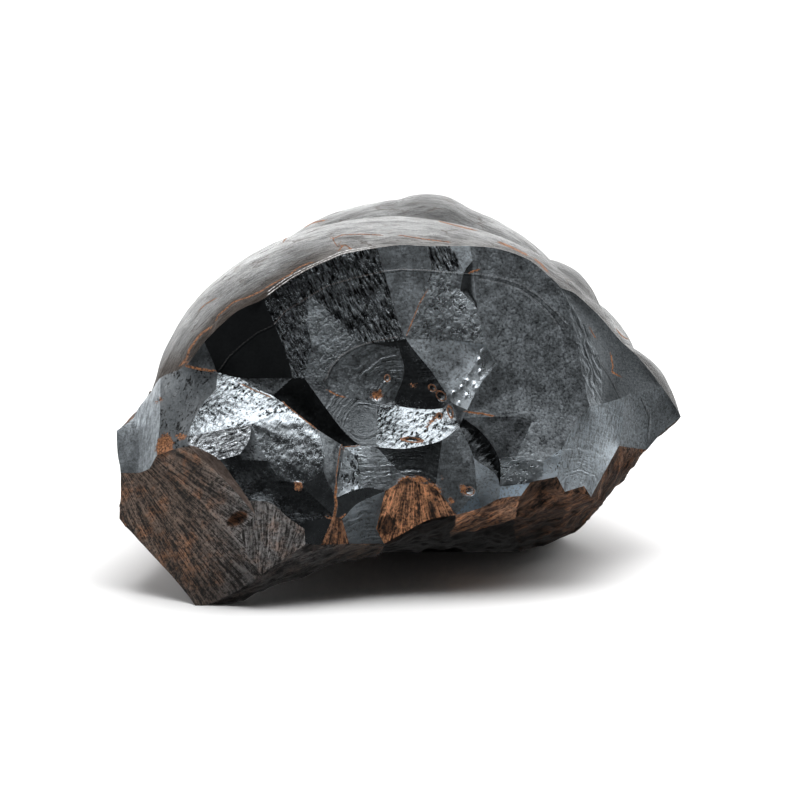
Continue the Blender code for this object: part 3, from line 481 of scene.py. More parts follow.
# Noises of the materials: the scale for each millimetre, or the scales across and along the grain,
# then the detail, the roughness and the distortion.
NOISES = {
    # Break.
    "speckle": (2.0, 4, 0.75, 0), "mottle": (0.35, 3, 0.6, 0), "break streaks": ((2.4, 0.42), 4, 0.7, 0),
    "ring gaps": (0.28, 2, 0.5, 0), "crack bends": (0.8, 2, 0.6, 0), "pits": ((1.5, 0.75), 3, 0.75, 0),
    "pit fields": (0.16, 2, 0.5, 0), "stain edges": (1.8, 4, 0.8, 0),
    # Rust.
    "rust patches": (2.6, 4, 0.75, 0), "rust edges": (2.2, 4, 0.75, 0),
    # Fibrous faces.
    "fibres": ((3.0, 0.16), 5, 0.8, 0.3), "fibre bands": ((0.7, 0.12), 5, 0.7, 0.3),
    "broad bands": ((0.28, 0.07), 4, 0.7, 0.5), "grit": (1.6, 5, 0.8, 0), "blotches": (0.22, 5, 0.75, 0),
    # Skin.
    "skin streaks": ((2.2, 0.3), 5, 0.75, 0.6), "wisps": ((0.6, 0.12), 4, 0.65, 0.8),
    "clouds": (0.1, 3, 0.6, 0), "film patches": (0.25, 5, 0.75, 0), "skin crack bends": (0.9, 3, 0.6, 0),
    "crack patches": (0.16, 3, 0.6, 0), "chip gaps": (2.6, 2, 0.6, 0),
}
# How strongly the grain of the break lightens and darkens a facet, and the level it swings about.
BREAK_SWINGS = {"speckle": (2.2, 0.5), "rings": (2.2, 0.5), "streaks": (2.4, 0.56)}
# Share of the light that each kind of mark takes away. Cracks and the halo beside growth lines are marks of
# the stone, pits are hollows darkened by painted shade, and the crease, rim and slope marks are painted
# shade on the skin.
DIMMING = {"cracks": 0.34, "pits": 0.88, "halo": 0.45, "crease": 0.5, "rim": 0.7, "slope_shade": 0.25}
# A facet gives back at least and at most this share of the light.
DARKEST, LIGHTEST = 0.004, 0.93
COLOURS = {
    "steel": (0.91, 1.0, 1.07), "brown steel": (1.5, 1.0, 0.75), "skin": (0.36, 0.365, 0.365),
    # The chip colour is white chips with a painted highlight along the rim's edge.
    "film": (0.22, 0.18, 0.155), "skin crack": (0.05, 0.035, 0.025), "chip": (0.95, 0.95, 0.95),
    "dark rust": (0.035, 0.012, 0.006), "light rust": (0.42, 0.18, 0.075),
    "left growth": (0.22, 0.15, 0.12), "right growth": (0.05, 0.038, 0.03),
    "fibre": (0.22, 0.165, 0.13), "grey fibre": (0.21, 0.21, 0.21), "between fibres": (0.012, 0.01, 0.009),
    "warm fibre": (0.42, 0.185, 0.085), "between warm fibres": (0.016, 0.009, 0.006),
    "table": (0.9, 0.9, 0.9),
}


def view_frame(column, row, depth):
    """World place of a point seen at a column and a row, this deep behind the foot's tip."""
    spread = STEP * (1 + depth / EYE_DISTANCE)
    across = (column - MIDDLE_COLUMN) * spread
    up = (MIDDLE_ROW - row) * spread
    back = depth * math.cos(EYE_ELEVATION) + up * math.sin(EYE_ELEVATION)
    high = REST_HEIGHT - depth * math.sin(EYE_ELEVATION) + up * math.cos(EYE_ELEVATION)
    return np.array((across, back, high))


def picture_places(points):
    """Columns and rows of world places, the other way round."""
    high = points[:, 2] - REST_HEIGHT
    depth = points[:, 1] * math.cos(EYE_ELEVATION) - high * math.sin(EYE_ELEVATION)
    up = points[:, 1] * math.sin(EYE_ELEVATION) + high * math.cos(EYE_ELEVATION)
    spread = STEP * (1 + depth / EYE_DISTANCE)
    return np.column_stack((MIDDLE_COLUMN + points[:, 0] / spread, MIDDLE_ROW - up / spread))


def scatter(cells, seed):
    """Even numbers from 0 to 1, one for each whole-number cell and the same every time."""
    mixed = np.full(cells.shape[:-1], seed * SEED_STEP + SEED_START, dtype=np.uint64)
    for axis in range(cells.shape[-1]):
        mixed = (mixed ^ cells[..., axis].astype(np.int64).astype(np.uint64)) * MIXER
        mixed ^= mixed >> np.uint64(31)
    return (mixed >> np.uint64(40)) / 2.0**24


def waves(places, seed):
    """Smooth noise from -1 to 1, with lumps one unit apart."""
    base = np.floor(places)
    part = places - base
    part = part**3 * (part * (6 * part - 15) + 10)
    total = np.zeros(len(places))
    for number in range(2 ** places.shape[1]):
        corner = np.array([number >> axis & 1 for axis in range(places.shape[1])])
        weight = np.where(corner, part, 1 - part).prod(axis=1)
        total += weight * (2 * scatter(base + corner, seed) - 1)
    return total


def nearest_seed(places, seed):
    """Distance to the nearest of seeds strewn one to a unit cell, and that seed's own number."""
    base = np.floor(places)
    best = np.full(len(places), np.inf)
    own = np.zeros(len(places))
    for right in (-1, 0, 1):
        for up in (-1, 0, 1):
            cell = base + (right, up)
            spot = cell + np.column_stack((scatter(cell, seed + 1), scatter(cell, seed + 2)))
            away = np.linalg.norm(places - spot, axis=1)
            nearer = away < best
            best = np.where(nearer, away, best)
            own = np.where(nearer, scatter(cell, seed + 3), own)
    return best, own


def piece_distance(places, start, end):
    """Distance of places from a straight piece, and 1 on its left and -1 on its right."""
    along = end - start
    spokes = places - start
    share = np.clip(spokes @ along / (along @ along), 0, 1)
    away = np.linalg.norm(spokes - share[:, None] * along, axis=1)
    return away, np.sign(along[0] * spokes[:, 1] - along[1] * spokes[:, 0])


def line_distance(places, line):
    """Distance of places from a line of straight pieces, below 0 on its right side."""
    line = np.array(line, float)
    best, side = piece_distance(places, line[0], line[1])
    for start, end in zip(line[1:-1], line[2:]):
        away, turn = piece_distance(places, start, end)
        nearer = away < best
        best = np.where(nearer, away, best)
        side = np.where(nearer, turn, side)
    return best * side


def spot_distance(places, spot):
    """How far places lie outside an oval spot, as a share of its size, and below 0 inside it."""
    angle = math.radians(spot.turn)
    right, down = places[:, 0] - spot.column, places[:, 1] - spot.row
    across = right * math.cos(angle) - down * math.sin(angle)
    up = right * math.sin(angle) + down * math.cos(angle)
    return np.hypot(across / spot.wide, up / spot.high) - 1


def spot_margin(places, spot):
    """About how many millimetres places lie outside a spot."""
    return spot_distance(places, spot) * min(spot.wide, spot.high) * STEP


def nearest_line(places, lines, spots=()):
    """Signed distance in millimetres to the nearest line or ring, far off as a large number of the
    same sign, and that line's half width, which is below 0 far off."""
    best = np.full(len(places), FAR)
    width = np.zeros(len(places))
    found = [(half, line_distance(places, line) * STEP) for half, line in lines]
    found += [(RING_WIDTH, spot_margin(places, spot)) for spot in spots if spot.ring]
    for half, away in found:
        nearer = abs(away) - half < abs(best) - width
        best = np.where(nearer, away, best)
        width = np.where(nearer, half, width)
    beyond = abs(best) > LINE_REACH
    return np.where(beyond, np.copysign(FAR, best), best), np.where(beyond, -1, width)


def stain_distance(places, spots):
    """Distance in millimetres outside the filled spots, and below 0 inside them."""
    return np.minimum(np.min([spot_margin(places, spot) for spot in spots if not spot.ring], axis=0), FAR)


def saw(turns):
    """From 0 up to 1 and at once back to 0, over and over."""
    return turns - np.floor(turns)


def relief(finish, places, ring):
    """Height of a finish's relief at places across and along the grain, and by the ring's radius."""
    height = np.zeros(len(places))
    for number, (kind, amount, across, along) in enumerate(RELIEFS[finish]):
        scaled = places / (across, along)
        away, own = nearest_seed(scaled, number) if kind in ("pit", "chip", "dome") else (None, None)
        if kind == "wave":
            shape = waves(scaled, number)
        elif kind == "pit":
            shape = -(0.4 + own) * np.exp(-((away / PIT_SIZE) ** 2))
        elif kind == "chip":
            shape = own * (own > CHIP_SHARE) * np.exp(-((away / CHIP_SIZE) ** 2))
        elif kind == "dome":
            shape = (0.5 + own) * (1 - np.minimum(away, 1) ** 2) - 0.6
        elif kind == "ring":
            shape = saw(ring / across + 0.35 * waves(places / 3, RING_SEED)) - 0.5
        elif kind == "step":
            bend = 0.8 * waves(places / (1.5, 3.5), STEP_SEED)
            bend += 0.25 * waves(places / (1, 1.5), STEP_SEED + 1)
            rise = saw(scaled[:, 0] + bend)
            shape = rise - np.clip((rise - TREAD) / (1 - TREAD), 0, 1) - 0.3
        height += amount * shape
    return height


def lobe_shapes():
    """Centre and world-to-unit-sphere matrix of each lobe, whose axes lean back with the view."""
    lean = np.array((
        (1, 0, 0),
        (0, math.sin(EYE_ELEVATION), math.cos(EYE_ELEVATION)),
        (0, math.cos(EYE_ELEVATION), -math.sin(EYE_ELEVATION)),
    ))
    return [(view_frame(*place[:3]), lean / np.array(place[3:])[:, None]) for place in LOBES.values()]


def reach(start, directions, shapes):
    """Distance from a start inside the lobes along each direction to the skin, and how far the next
    lobe lies below it: more than 0 on the main lobe and less than 0 on the others."""
    hits = []
    for centre, to_unit in shapes:
        origin = to_unit @ (start - centre)
        ray = directions @ to_unit.T
        square, along = (ray * ray).sum(axis=1), ray @ origin
        inside = along * along - square * (origin @ origin - 1)
        hits.append(np.where(inside > 0, (np.sqrt(np.maximum(inside, 0)) - along) / square, 0.0))
    sign = np.where(np.argmax(hits, axis=0) == 0, 1, -1)
    hits = np.sort(hits, axis=0)
    most = hits[-1]
    rounded = most + CREASE_ROUNDING * np.log(np.exp((hits - most) / CREASE_ROUNDING).sum(axis=0))
    return rounded, sign * (most - hits[-2])


def settled(fixed):
    """The front corners with the depths that best keep every facet flat and at its tilt."""
    places = {**fixed, **FRONT}
    unknown = {name: number for number, name in enumerate(FRONT)}
    rows, sums = [], []

    def ask(terms, total, weight):
        row = np.zeros(len(FRONT) + 3 * len(BREAK))
        for at, factor in terms:
            row[at] += factor * weight
        rows.append(row)
        sums.append(total * weight)

    for name, (*_, depth) in FRONT.items():
        ask([(unknown[name], 1)], depth, HINT_WEIGHT)
    for number, (title, facet) in enumerate(BREAK.items()):
        # The facet's own unknowns: its depth at the picture's middle and its rise across and up.
        level = len(FRONT) + 3 * number
        weight = FLATNESS.get(title, 1)
        for name in facet.corners.split():
            column, row, depth = places[name]
            across, high = (column - MIDDLE_COLUMN) * STEP, (MIDDLE_ROW - row) * STEP
            plane = [(level, -1), (level + 1, -across / TILT_LENGTH), (level + 2, -high / TILT_LENGTH)]
            if name in unknown:
                ask(plane + [(unknown[name], 1)], 0, weight)
            else:
                ask(plane, -depth, weight)
        ask([(level + 1, 1)], TILT_LENGTH * math.tan(math.radians(facet.right)), TILT_WEIGHT)
        ask([(level + 2, 1)], TILT_LENGTH * math.tan(math.radians(facet.up)), TILT_WEIGHT)
    found = np.linalg.lstsq(np.array(rows), np.array(sums), rcond=None)[0]
    return {name: (*FRONT[name][:2], found[unknown[name]]) for name in FRONT}


def all_corners():
    """World place of every named corner."""
    fixed = {**OUTLINE, **RIM}
    corners = {name: view_frame(*place) for name, place in {**fixed, **settled(fixed)}.items()}
    corners.update({name: np.array(place, float) for name, place in BEHIND.items()})
    return corners


def unit(vector):
    return vector / np.linalg.norm(vector)


class Stone:
    """Points and triangles of the growing stone. Facets that share an edge share its points."""

    def __init__(self, corners):
        self.corners = corners
        self.points = []
        self.roughness = []
        self.triangles = []
        self.patches = []
        self.patterns = []
        self.edges = {}
        self.curved = set()
        self.neighbours = {name: set() for name in corners}
        self.index = {name: self.add(place) for name, place in corners.items()}

    def add(self, place):
        self.points.append(np.array(place, float))
        self.roughness.append(math.inf)
        return len(self.points) - 1

    def know(self, names, curved):
        """Notes a loop's edges before any is drawn, so that they can run on into each other."""
        for first, last in zip(names, names[1:] + names[:1]):
            self.neighbours[first].add(last)
            self.neighbours[last].add(first)
            if curved:
                self.curved.add(frozenset((first, last)))

    def heading(self, first, last):
        """Direction in which an edge leaves its first corner."""
        straight = unit(self.corners[last] - self.corners[first])
        best, found = SMOOTH_TURN, straight
        for other in self.neighbours[first] - {last}:
            if frozenset((first, other)) in self.curved:
                fit = unit(self.corners[first] - self.corners[other]) @ straight
                if fit > best:
                    best, found = fit, unit(self.corners[last] - self.corners[other])
        return found

    def edge(self, first, last):
        """Indices from one corner up to, but without, the next."""
        key = tuple(sorted((first, last)))
        if key not in self.edges:
            start, end = self.corners[key[0]], self.corners[key[1]]
            length = np.linalg.norm(end - start)
            curved = frozenset(key) in self.curved
            pieces = max(1, round(length / (BREAK_STEP if curved else HIDDEN_STEP)))
            share = (np.arange(1, pieces) / pieces)[:, None]
            line = start + (end - start) * share
            if curved:
                leave = self.heading(*key) * length
                arrive = -self.heading(*key[::-1]) * length
                line = (
                    (2 * share**3 - 3 * share**2 + 1) * start + (share**3 - 2 * share**2 + share) * leave
                    + (3 * share**2 - 2 * share**3) * end + (share**3 - share**2) * arrive
                )
            inner = [self.add(place) for place in line]
            self.edges[key] = [self.index[key[0]]] + inner + [self.index[key[1]]]
        run = self.edges[key]
        return run[:-1] if key[0] == first else run[:0:-1]

    def loop(self, names):
        """Indices and places of the points all round a loop of corners."""
        found = [i for pair in zip(names, names[1:] + names[:1]) for i in self.edge(*pair)]
        return found, np.array([self.points[i] for i in found])

    def fill(self, patch, loop, flat, places, inner_points, roughness, pattern):
        """Triangles between a loop's flat outline and the flat places inside it."""
        inner = [self.add(point) for point in inner_points]
        flat_all = [Vector(place) for place in (*flat, *places)]
        ends = [(i, (i + 1) % len(loop)) for i in range(len(loop))]
        found = geometry.delaunay_2d_cdt(flat_all, ends, [], 1, LEAST_GAP)
        corner_of = np.array([sources[0] for sources in found[3]])
        name_of = np.array(list(loop) + inner)
        corners = corner_of[np.array([list(triangle) for triangle in found[2]])]
        self.triangles.append(name_of[corners])
        self.patterns.append(pattern[corners])
        self.patches.append(np.full(len(corners), patch))
        for i in name_of:
            self.roughness[i] = min(self.roughness[i], roughness)


def inner_grid(outline, step):
    """Points of a triangular grid inside a flat outline, and their distance to it."""
    low, high = outline.min(axis=0), outline.max(axis=0)
    rows = np.arange(low[1], high[1], step * math.sqrt(0.75))
    places = [
        (x, y)
        for number, y in enumerate(rows)
        for x in np.arange(low[0] + step / 2 * (number % 2), high[0], step)
    ]
    if not places:
        return np.zeros((0, 2)), np.zeros(0)
    places = np.array(places)
    odd = np.zeros(len(places), dtype=bool)
    away = np.full(len(places), np.inf)
    for start, end in zip(outline, np.roll(outline, -1, axis=0)):
        crossed = (start[1] > places[:, 1]) != (end[1] > places[:, 1])
        rise = end[1] - start[1] or TINY
        odd ^= crossed & (places[:, 0] < start[0] + (places[:, 1] - start[1]) * (end[0] - start[0]) / rise)
        away = np.minimum(away, piece_distance(places, start, end)[0])
    kept = odd & (away > EDGE_CLEARANCE * step)
    return places[kept], away[kept]


def spread_inwards(places, outline, values):
    """Mean value interpolation of the outline's values at the places inside it."""
    found = np.zeros(len(places))
    for first in range(0, len(places), AT_ONCE):
        part = slice(first, first + AT_ONCE)
        spokes = outline[None] - places[part, None]
        length = np.linalg.norm(spokes, axis=2)
        following = np.roll(spokes, -1, axis=1)
        cross = spokes[..., 0] * following[..., 1] - spokes[..., 1] * following[..., 0]
        dot = (spokes * following).sum(axis=2)
        half_tangent = np.tan(np.arctan2(cross, dot) / 2)
        weight = (half_tangent + np.roll(half_tangent, 1, axis=1)) / length
        found[part] = (weight @ values) / weight.sum(axis=1)
    return found


def grain_places(facet, points, flat):
    """Places across and along a face's grain, in millimetres, and their distance from its centre."""
    if facet.finish == "rough":
        return np.column_stack((flat, np.zeros(len(flat))))
    seen = (picture_places(points) - MIDDLE) * (STEP, -STEP)
    centre = (np.array(facet.centre or MIDDLE) - MIDDLE) * (STEP, -STEP)
    ring = np.linalg.norm(seen - centre, axis=1)
    if facet.finish in FIBROUS and facet.centre:
        # In a fan, the arc about its centre takes the place of the distance across.
        spokes = seen - centre
        away = spokes.mean(axis=0)
        angle = np.arctan2(away[0] * spokes[:, 1] - away[1] * spokes[:, 0], spokes @ away)
        return np.column_stack((angle * np.linalg.norm(away), ring, ring))
    angle = math.radians(facet.turn)
    along = seen @ (math.cos(angle), math.sin(angle))
    across = seen @ (-math.sin(angle), math.cos(angle))
    return np.column_stack((across, along, ring))


def rust_pits(points):
    """Depth of the rusty hollows at places on the break."""
    seen = picture_places(points)
    ragged = 1 + 0.3 * waves(seen / 2.5, PIT_SEED)
    depth = np.zeros(len(points))
    for spot in RUST_SPOTS:
        depth += spot.depth * np.sqrt(np.clip(-spot_distance(seen, spot), 0, 1)) * ragged
    return depth


def add_face(stone, patch, facet, step):
    """One face of the stone over its corners, curved as its edges ask, with its finish's relief."""
    loop, rim = stone.loop(facet.corners.split())
    middle = rim.mean(axis=0)
    following = np.roll(rim, -1, axis=0)
    # The corners run clockwise as seen from outside, so this normal points into the stone.
    normal = unit(np.cross(rim - middle, following - middle).sum(axis=0))
    across = rim[0] - middle
    across = unit(across - normal * (across @ normal))
    axes = np.array((across, np.cross(normal, across)))
    flat = (rim - middle) @ axes.T
    places, away = inner_grid(flat, step)
    inner = np.zeros((0, 3))
    if len(places):
        height = spread_inwards(places, flat, (rim - middle) @ normal)
        height += facet.hollow * (1 - (1 - away / away.max()) ** 2)
        inner = middle + places @ axes + height[:, None] * normal
    pattern = grain_places(facet, np.vstack((rim, inner)), np.vstack((flat, places)))
    if len(places):
        grain = pattern[len(rim):]
        raised = relief(facet.finish, grain[:, :2], grain[:, 2]) * np.minimum(away / EDGE_FADE, 1)
        if patch < len(BREAK):
            raised -= rust_pits(inner)
        inner = inner - raised[:, None] * normal
    stone.fill(patch, loop, flat, places, inner, facet.rough, pattern)


def add_skin(stone, patch, shapes):
    """The grown skin over the lobes, joined to the break's edge all round. Gives its first point's
    number, and how far the next lobe lies below each of its inner points."""
    loop, rim = stone.loop(SKIN_EDGE)
    heart = np.array(SKIN_HEART, float)
    axis = unit(np.array(SKIN_AXIS))
    side = np.array((1.0, 0, 0))
    turned_frame = np.array((side, np.cross(axis, side), axis))
    length = np.linalg.norm(rim - heart, axis=1)
    spokes = (rim - heart) / length[:, None]
    turned = spokes @ turned_frame.T
    tilt = np.arccos(np.clip(turned[:, 2], -1, 1))
    flat = turned[:, :2] / np.linalg.norm(turned[:, :2], axis=1)[:, None] * tilt[:, None]
    places, away = inner_grid(flat, SKIN_STEP)
    tilt = np.linalg.norm(places, axis=1)
    sideways = places / np.maximum(tilt, TINY)[:, None] * np.sin(tilt)[:, None]
    directions = np.column_stack((sideways, np.cos(tilt))) @ turned_frame
    miss = length - reach(heart, spokes, shapes)[0]
    far, below = reach(heart, directions, shapes)
    far += spread_inwards(places, flat, miss) * np.exp(-away / MEND_REACH)
    bent = heart + directions * far[:, None]
    # The streaks run round a level line from front to back, below the skin's lower edge.
    spokes = np.vstack((rim, bent)) - GRAIN_HEART
    around = np.arctan2(spokes[:, 0], spokes[:, 2])
    back = np.arctan2(spokes[:, 1], np.hypot(spokes[:, 0], spokes[:, 2]))
    pattern = np.column_stack((back, around, around)) * SKIN_RADIUS
    raised = np.zeros(len(bent))
    for seed, (amount, *size) in enumerate(SKIN_RELIEF, SKIN_SEED):
        grain = pattern[len(loop):, :2] if len(size) == 2 else bent
        raised += amount * waves(grain / size, seed)
    far += raised * np.minimum(away / SKIN_FADE, 1)
    first = len(stone.points)
    stone.fill(patch, loop, flat, places, heart + directions * far[:, None], 0, pattern)
    return first, below


def roughen(stone):
    """The points, moved by a smooth noise as far as their smoothest facet allows."""
    points = np.array(stone.points)
    amount = np.array(stone.roughness)
    amount = np.where(np.isfinite(amount), amount, 0)[:, None]
    shift = np.zeros_like(points)
    for axis in range(3):
        for seed, size, share in ROUGHNESS:
            shift[:, axis] += share * waves(points / size, seed + axis)
    return points + amount * shift


def stand(points):
    """Middle of the footprint's box at the origin, and nothing below the surface it rests on."""
    low, high = points.min(axis=0), points.max(axis=0)
    points[:, :2] -= (low[:2] + high[:2]) / 2
    points[:, 2] = np.maximum(points[:, 2], 0)
    return points


def broken_faces():
    """Every broken face in the order of its patches, and the length of its triangles' sides."""
    for facet in BREAK.values():
        yield facet, FINE_STEP if facet.finish in FINE else BREAK_STEP
    for corners, hollow, rough, tone in UNDERSIDE.values():
        look = ("rough", UNSEEN_TONE if tone is None else tone, ROUGH_GLOSS)
        yield Facet(corners, 0, 0, *look, hollow, rough), HIDDEN_STEP if tone is None else BELLY_STEP


def point_numbers(points, triangles, patches):
    """Rust, stains, old growth and the nearness of the rim at each point."""
    seen = picture_places(points)
    on_break, on_skin = np.zeros((2, len(points)), dtype=bool)
    on_break[triangles[patches < len(BREAK)]] = True
    on_skin[triangles[patches == patches.max()]] = True
    rust, stain, growth = np.full((3, len(points)), FAR)
    width, rim = np.zeros((2, len(points)))
    rust[on_break], width[on_break] = nearest_line(seen[on_break], RUST_LINES, RUST_SPOTS)
    stain[on_break] = stain_distance(seen[on_break], RUST_SPOTS)
    growth[on_break] = nearest_line(seen[on_break], [(0, line) for line in GROWTH_LINES])[0]
    to_eye = outward_of(points, triangles) @ (0, -math.cos(EYE_ELEVATION), math.sin(EYE_ELEVATION))
    facing = on_skin & ~on_break & (to_eye > LEAST_FACING)
    rust[facing], width[facing] = nearest_line(seen[facing], SKIN_LINES)
    rim[on_skin] = nearest_of(points[on_skin], points[on_skin & on_break])
    return {"rust": rust, "width": width, "stain": stain, "growth": growth, "rim": rim}


def grown_stone():
    """The stone, the look of each of its patches, and, for the skin's inner points, the first one's
    number and how far the next lobe lies below each."""
    stone = Stone(all_corners())
    for facet in BREAK.values():
        stone.know(facet.corners.split(), True)
    for corners, *_ in UNDERSIDE.values():
        stone.know(corners.split(), False)
    stone.know(SKIN_EDGE, False)
    looks = []
    for facet, step in broken_faces():
        add_face(stone, len(looks), facet, step)
        looks.append(facet)
    first, below = add_skin(stone, len(looks), lobe_shapes())
    looks.append(Facet(SKIN_EDGE, 0, 0, "skin", 0, 0))
    return stone, looks, first, below


def build_stone():
    """The whole stone as one closed mesh, with the numbers that its materials read."""
    stone, looks, first, below = grown_stone()
    skin = len(looks) - 1
    points = roughen(stone)
    triangles, patterns = np.vstack(stone.triangles), np.vstack(stone.patterns)
    patches = np.concatenate(stone.patches)
    inward = patches != skin
    triangles[inward] = triangles[inward][:, ::-1]
    patterns[inward] = patterns[inward][:, ::-1]
    numbers = point_numbers(points, triangles, patches)
    numbers["crease"] = np.full(len(points), FAR)
    numbers["crease"][first:first + len(below)] = below

    mesh = bpy.data.meshes.new("hematite")
    mesh.from_pydata(stand(points) * MILLIMETRE, [], triangles)
    for name, values in numbers.items():
        give(mesh, name, "FLOAT", "POINT", values)
    give(mesh, "pattern", "FLOAT_VECTOR", "CORNER", patterns.reshape(-1, 3))
    plain = (0,) * len(GRAIN_NAMES)
    grains = np.array([(look.tone, look.gloss, *GRAINS.get(look.finish, plain)) for look in looks])
    for name, values in zip(("tone", "gloss", *GRAIN_NAMES), grains.T):
        give(mesh, name, "FLOAT", "FACE", values[patches])
    # Material slots: 0 for the smooth break, 1 for fibrous faces and 2 for the skin.
    kinds = np.array([1 if look.finish in FIBROUS else 2 if look.finish == "skin" else 0 for look in looks])
    mesh.polygons.foreach_set("material_index", kinds[patches])
    mesh.shade_smooth()
    sharpen(mesh, patches, skin)
    mesh.update()
    return mesh


def nearest_of(places, marks):
    """Distance from each place to the nearest mark, up to RIM_REACH."""
    best = np.full(len(places), RIM_REACH)
    for mark in marks:
        best = np.minimum(best, np.linalg.norm(places - mark, axis=1))
    return best


def outward_of(points, triangles):
    """Outward direction at each point."""
    sides = points[triangles]
    across = np.cross(sides[:, 1] - sides[:, 0], sides[:, 2] - sides[:, 0])
    total = np.zeros_like(points)
    for corner in range(3):
        np.add.at(total, triangles[:, corner], across)
    return total / np.maximum(np.linalg.norm(total, axis=1), TINY)[:, None]


def give(mesh, name, kind, domain, values):
    """Stores numbers on the mesh for its materials."""
    layer = mesh.attributes.new(name, kind, domain)
    values = values if kind == "BOOLEAN" else values.astype(np.float32).ravel()
    layer.data.foreach_set("vector" if kind == "FLOAT_VECTOR" else "value", values)


def sharpen(mesh, patches, skin):
    """Marks the edges between the facets of the break, and along the skin, as sharp."""
    edge_of = np.zeros(len(mesh.loops), dtype=np.int32)
    mesh.loops.foreach_get("edge_index", edge_of)
    owner = np.repeat(patches, 3)
    least, most = np.full(len(mesh.edges), skin), np.zeros(len(mesh.edges), dtype=int)
    np.minimum.at(least, edge_of, owner)
    np.maximum.at(most, edge_of, owner)
    sharp = (least != most) & ((least < len(BREAK)) | (most == skin))
    order = list(BREAK)
    for pair in SOFT_PAIRS:
        first, last = sorted(order.index(name) for name in pair)
        sharp &= (least != first) | (most != last)
    give(mesh, "sharp_edge", "BOOLEAN", "EDGE", sharp)


class Value:
    """A node's result, which adds and multiplies as a plain number does."""

    def __init__(self, nodes, socket):
        self.nodes, self.socket = nodes, socket

    def __add__(self, other):
        return self.nodes.math("ADD", self, other)

    def __sub__(self, other):
        return self.nodes.math("SUBTRACT", self, other)

    def __rsub__(self, other):
        return self.nodes.math("SUBTRACT", other, self)

    def __mul__(self, other):
        return self.nodes.math("MULTIPLY", self, other)

    def __abs__(self):
        return self.nodes.math("ABSOLUTE", self)

    def at_least(self, other):
        return self.nodes.math("MAXIMUM", self, other)

    def at_most(self, other):
        return self.nodes.math("MINIMUM", self, other)

    __radd__, __rmul__ = __add__, __mul__


class Nodes:
    """The nodes of a material or of the world, with short ways to add to them."""

    def __init__(self, owner):
        owner.use_nodes = True
        self.owner, self.tree = owner, owner.node_tree

    def put(self, socket, value):
        if isinstance(value, Value):
            self.tree.links.new(value.socket, socket)
        elif socket.type == "RGBA":
            socket.default_value = (*value, 1)
        else:
            socket.default_value = value

    def add(self, kind, inputs=(), output=0, **settings):
        made = self.tree.nodes.new("ShaderNode" + kind)
        for name, value in settings.items():
            setattr(made, name, value)
        for name, value in dict(inputs).items():
            self.put(made.inputs[name], value)
        return Value(self, made.outputs[output])

    def math(self, operation, *values):
        return self.add("Math", dict(enumerate(values)), operation=operation)

    def vector_math(self, operation, *values):
        return self.add("VectorMath", dict(enumerate(values)), operation=operation)

    def scaled(self, vector, factor):
        return self.add("VectorMath", {0: vector, "Scale": factor}, operation="SCALE")

    def ramp(self, value, low, high, start=0.0, end=1.0, kind="SMOOTHSTEP"):
        """From one number to another as a value goes from low to high."""
        inputs = {"Value": value, "From Min": low, "From Max": high, "To Min": start, "To Max": end}
        return self.add("MapRange", inputs, interpolation_type=kind)

    def fall(self, value, low, high):
        """From 1 to 0 as a value goes from low to high."""
        return self.ramp(value, low, high, 1.0, 0.0)

    def between(self, value, low, full, fading, gone):
        """Up from 0 to 1 as a value goes from low to full, and down again from fading to gone."""
        return self.ramp(value, low, full) * self.fall(value, fading, gone)

    def number(self, name):
        return self.add("Attribute", output="Fac", attribute_name=name)

    @cached_property
    def pattern(self):
        """Place across and along the grain, and the ring's radius, in millimetres."""
        return self.add("Attribute", output="Vector", attribute_name="pattern")

    @cached_property
    def place(self):
        """Place in millimetres."""
        return self.scaled(self.add("TexCoord", output="Object"), 1 / MILLIMETRE)

    def axis(self, name):
        return self.add("SeparateXYZ", {0: self.place}, name)

    def noise(self, name):
        """One of the NOISES, from 0 to 1."""
        scale, detail, roughness, distortion = NOISES[name]
        inputs = {"Detail": detail, "Roughness": roughness, "Distortion": distortion}
        if isinstance(scale, tuple):
            inputs |= {"Vector": self.vector_math("MULTIPLY", self.pattern, (*scale, 0)), "Scale": 1.0}
        else:
            inputs |= {"Vector": self.place, "Scale": scale}
        return self.add("TexNoise", inputs)

    def wave(self, name):
        """A noise about 0 instead of 0.5."""
        return self.noise(name) - 0.5

    def cell_edges(self, space, bend, amount, scale):
        """Distance to the edges of cells, in a space that a noise bends."""
        bent = self.vector_math("MULTIPLY_ADD", self.noise(bend), (amount,) * 3, space)
        inputs = {"Vector": self.vector_math("MULTIPLY", bent, scale), "Scale": 1.0}
        return self.add("TexVoronoi", inputs, feature="DISTANCE_TO_EDGE")

    def mix(self, share, first, second):
        return self.add("Mix", {0: share, 6: first, 7: second}, 2, data_type="RGBA")

    def finish(self, colour, metallic, roughness, height, depth, ior):
        """Joins the results to the material's shader. The height stands for a depth in millimetres."""
        normal = self.add("Bump", {"Height": height, "Distance": depth * MILLIMETRE, "Strength": 1.0})
        shader = self.tree.nodes["Principled BSDF"]
        results = (colour, metallic, roughness, normal, ior)
        for name, value in zip(("Base Color", "Metallic", "Roughness", "Normal", "IOR"), results):
            self.put(shader.inputs[name], value)
        return self.owner


def rust_colour(nodes):
    """From dark brown to orange."""
    patchy = nodes.ramp(nodes.noise("rust patches"), 0.38, 0.62)
    return nodes.mix(patchy, COLOURS["dark rust"], COLOURS["light rust"])


def rust_marks(nodes, raggedness):
    """How rusty a place is, from its distance to the nearest line."""
    width = nodes.number("width")
    away = nodes.wave("rust edges") * raggedness + abs(nodes.number("rust")) - width
    return nodes.fall(away, -0.05, 0.05) * nodes.math("GREATER_THAN", width, 0.0)


